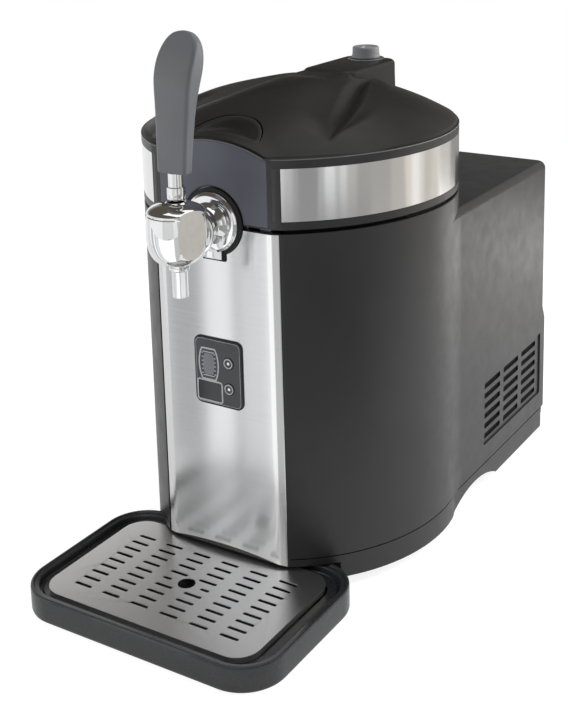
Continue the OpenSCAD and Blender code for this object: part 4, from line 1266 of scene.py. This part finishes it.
def makeFloor(spec):
    # an even pale tone to the camera and in polished parts, matt for everything else
    mesh = bpy.data.meshes.new("floor")
    reach, low = spec["reach"], spec["height"]
    mesh.from_pydata([(-reach, -reach, low), (reach, -reach, low), (reach, reach, low),
                      (-reach, reach, low)], [], [(0, 1, 2, 3)])
    floor = placed("floor", mesh)
    material, tree, surface = openMaterial("paleFloor")
    place = addNode(tree, "ShaderNodeTexCoord").outputs["Object"]
    away = addNode(tree, "ShaderNodeVectorMath", {0: place}, operation="LENGTH").outputs["Value"]
    lit = remap(tree, away, spec["lit"], 0.0, spec["near"], spec["far"])
    seenWhite = remap(tree, away, spec["white"], 1.0, spec["near"], spec["far"])
    direct = rayKind(tree, "Is Camera Ray", "Is Transmission Ray")
    glowTone = maths(tree, "ADD", maths(tree, "MULTIPLY", direct, seenWhite),
                     maths(tree, "MULTIPLY", rayKind(tree, "Is Glossy Ray"), spec["mirrored"]))
    either = rayKind(tree, "Is Camera Ray", "Is Transmission Ray", "Is Glossy Ray")
    matted = addNode(tree, "ShaderNodeMix", {0: either, 2: spec["albedo"], 3: lit},
                     data_type="FLOAT").outputs[0]
    glow = addNode(tree, "ShaderNodeEmission", {"Color": (1, 1, 1, 1), "Strength": glowTone})
    matt = addNode(tree, "ShaderNodeBsdfDiffuse", {"Color": matted})
    both = addNode(tree, "ShaderNodeAddShader", {0: glow.outputs[0], 1: matt.outputs[0]})
    tree.links.new(both.outputs[0], surface)
    mesh.materials.append(material)


# even fill for matt light; what polished parts see above the cards, by height of the direction
room = {"fill": 0.42, "low": (0.62, 0.61, 0.60), "high": (0.10, 0.088, 0.074), "lowEnd": 0.12,
        "highStart": 0.42}


def makeWorld(spec):
    world = bpy.data.worlds.new("room")
    bpy.context.scene.world = world
    world.use_nodes = True
    tree = world.node_tree
    tree.nodes.clear()
    direction = addNode(tree, "ShaderNodeTexCoord").outputs["Generated"]
    height = addNode(tree, "ShaderNodeSeparateXYZ", {0: direction}).outputs["Z"]
    tones = twoTone(tree, remap(tree, height, 0, 1, spec["lowEnd"], spec["highStart"]), spec["low"],
                    spec["high"])
    seen = addNode(tree, "ShaderNodeBackground", {"Color": tones, "Strength": 1.0})
    dim = addNode(tree, "ShaderNodeBackground", {"Color": (1, 1, 1, 1), "Strength": spec["fill"]})
    white = addNode(tree, "ShaderNodeBackground", {"Color": (1, 1, 1, 1), "Strength": 1.0})
    mix = addNode(tree, "ShaderNodeMixShader",
                  {0: rayKind(tree, "Is Glossy Ray"), 1: dim.outputs[0], 2: seen.outputs[0]})
    mix = addNode(tree, "ShaderNodeMixShader",
                  {0: rayKind(tree, "Is Camera Ray"), 1: mix.outputs[0], 2: white.outputs[0]})
    output = addNode(tree, "ShaderNodeOutputWorld")
    tree.links.new(mix.outputs[0], output.inputs["Surface"])


# soft boxes: place, point they face, width and height in metres, watts, and whether polished
# parts mirror them
lamps = {
    "keyLeft": ((-1.15, -1.25, 1.15), (0, 0, 0.3), (1.2, 0.9), 14, False),
    "sideRight": ((1.1, 1.1, 0.9), (0.1, 0.15, 0.25), (0.9, 1.3), 42, False),
    "above": ((0.1, 0.3, 1.9), (0, 0.05, 0.3), (1.6, 1.6), 9, True),
}


def makeLamp(name, place, target, size, watts, mirrored):
    data = bpy.data.lights.new(name, "AREA")
    data.shape = "RECTANGLE"
    data.size, data.size_y = size
    data.energy = watts
    lamp = placed(name, data)
    lamp.location = place
    lamp.rotation_euler = (Vector(target) - Vector(place)).to_track_quat("-Z", "Y").to_euler()
    lamp.visible_glossy = mirrored


def makeCard(name, points, faces, tones):
    # glowing sheet that only polished and satin surfaces see, one tone for each face
    mesh = bpy.data.meshes.new(name)
    mesh.from_pydata(points, [], faces)
    card = placed(name, mesh)
    for i, tone in enumerate(tones):
        material, tree, surface = openMaterial(name + str(i))
        glow = addNode(tree, "ShaderNodeEmission", {"Color": (*tone, 1), "Strength": 1.0})
        tree.links.new(glow.outputs[0], surface)
        mesh.materials.append(material)
        mesh.polygons[i].material_index = i
    card.visible_camera = card.visible_diffuse = card.visible_shadow = False
    card.visible_transmission = card.visible_volume_scatter = False


def warm(tone, warmth=0.0):
    return (tone * (1 + warmth), tone, tone * (1 - 1.6 * warmth))


def uprightCard(name, line, low, high, tones):
    # screen that stands along a line of points, one tone between each point and the next
    n = len(line)
    points = [(x, y, z) for z in (low, high) for x, y in line]
    makeCard(name, points, [(i, i + 1, n + i + 1, n + i) for i in range(n - 1)], tones)


def arcCard(name, radius, low, high, stops, end):
    # round the object; stops: angle from the front towards the right side, tone
    angles = [math.radians(a) for a, _ in stops] + [math.radians(end)]
    line = [(radius * math.sin(a), -radius * math.cos(a)) for a in angles]
    uprightCard(name, line, low, high, [tone for _, tone in stops])


def wallCard(name, y, low, high, stops, end):
    # across the front; stops: x in metres, tone
    line = [(x, y) for x in [x for x, _ in stops] + [end]]
    uprightCard(name, line, low, high, [tone for _, tone in stops])


screens = {
    "near": {"y": -0.27, "low": 0.014, "high": 0.29, "end": 0.105,
             "stops": [(-0.175, warm(0.70, -0.01)), (-0.1606, warm(0.50, -0.015)),
                       (-0.1253, warm(0.64, -0.01)), (-0.1183, warm(1.08, -0.01)),
                       (-0.0865, warm(0.62, -0.015)), (-0.0760, warm(0.84, -0.015)),
                       (-0.0442, warm(1.25)), (0.052, warm(0.62))]},
    "round": {"radius": 0.8, "low": 0.0, "high": 0.5, "end": 240,
              "stops": [(-140, warm(0.95)), (-80, warm(0.85)), (-62, warm(1.0)), (-10, warm(0.75)),
                        (22, warm(0.9)), (33, warm(0.64)), (37, warm(0.46)), (40, warm(0.34)),
                        (51, warm(0.6)), (55, warm(1.02)), (61, warm(0.68)), (64, warm(0.92, 0.01)),
                        (68, warm(0.6, 0.03)), (74, warm(0.44, 0.04)), (97, warm(0.54, 0.05)),
                        (108, warm(0.8, 0.06)), (113, warm(1.05, 0.03)), (120, warm(0.8, 0.06)),
                        (124, warm(0.62, 0.07)), (131, warm(0.72, 0.06)), (142, warm(0.60, 0.04)),
                        (158, warm(0.34, 0.03)), (180, warm(0.26, 0.03)), (202, warm(0.36, 0.03))]},
    "flag": {"radius": 0.45, "low": 0.0, "high": 0.24, "end": 80,
             "stops": [(4, warm(0.45)), (28, warm(0.34)), (52, warm(0.28)), (66, warm(0.36))]},
    "side": {"radius": 0.79, "low": 0.0, "high": 0.11, "end": 172,
             "stops": [(141, warm(2.3, 0.02))]},
    "high": {"radius": 0.95, "low": 0.5, "high": 1.1, "end": 178,
             "stops": [(118, warm(0.6, 0.03))]},
}
glowPatch = {"corners": [(0.25, 0.42), (0.75, 0.32), (0.95, 1.2), (0.30, 1.2)], "height": 0.003,
             "tone": warm(1.35, 0.02)}
backCard = {"place": (-0.35, 2.2, 0.95), "width": 4.2, "height": 1.7, "tone": (0.020, 0.019, 0.018)}

makeFloor(floorSpec)
makeWorld(room)
for name, spec in lamps.items():
    makeLamp(name, *spec)
wallCard("screenNear", **screens["near"])
for name in ("round", "flag", "side", "high"):
    arcCard("screen" + name.capitalize(), **screens[name])
makeCard("screenGround", [(x, y, glowPatch["height"]) for x, y in glowPatch["corners"]],
         [(0, 1, 2, 3)], [glowPatch["tone"]])
x, y, z = backCard["place"]
w, h = backCard["width"] / 2, backCard["height"] / 2
makeCard("screenBack", [(x - w, y, z - h), (x + w, y, z - h), (x + w, y, z + h), (x - w, y, z + h)],
         [(0, 1, 2, 3)], [backCard["tone"]])
print("floor, lamps and cards placed")
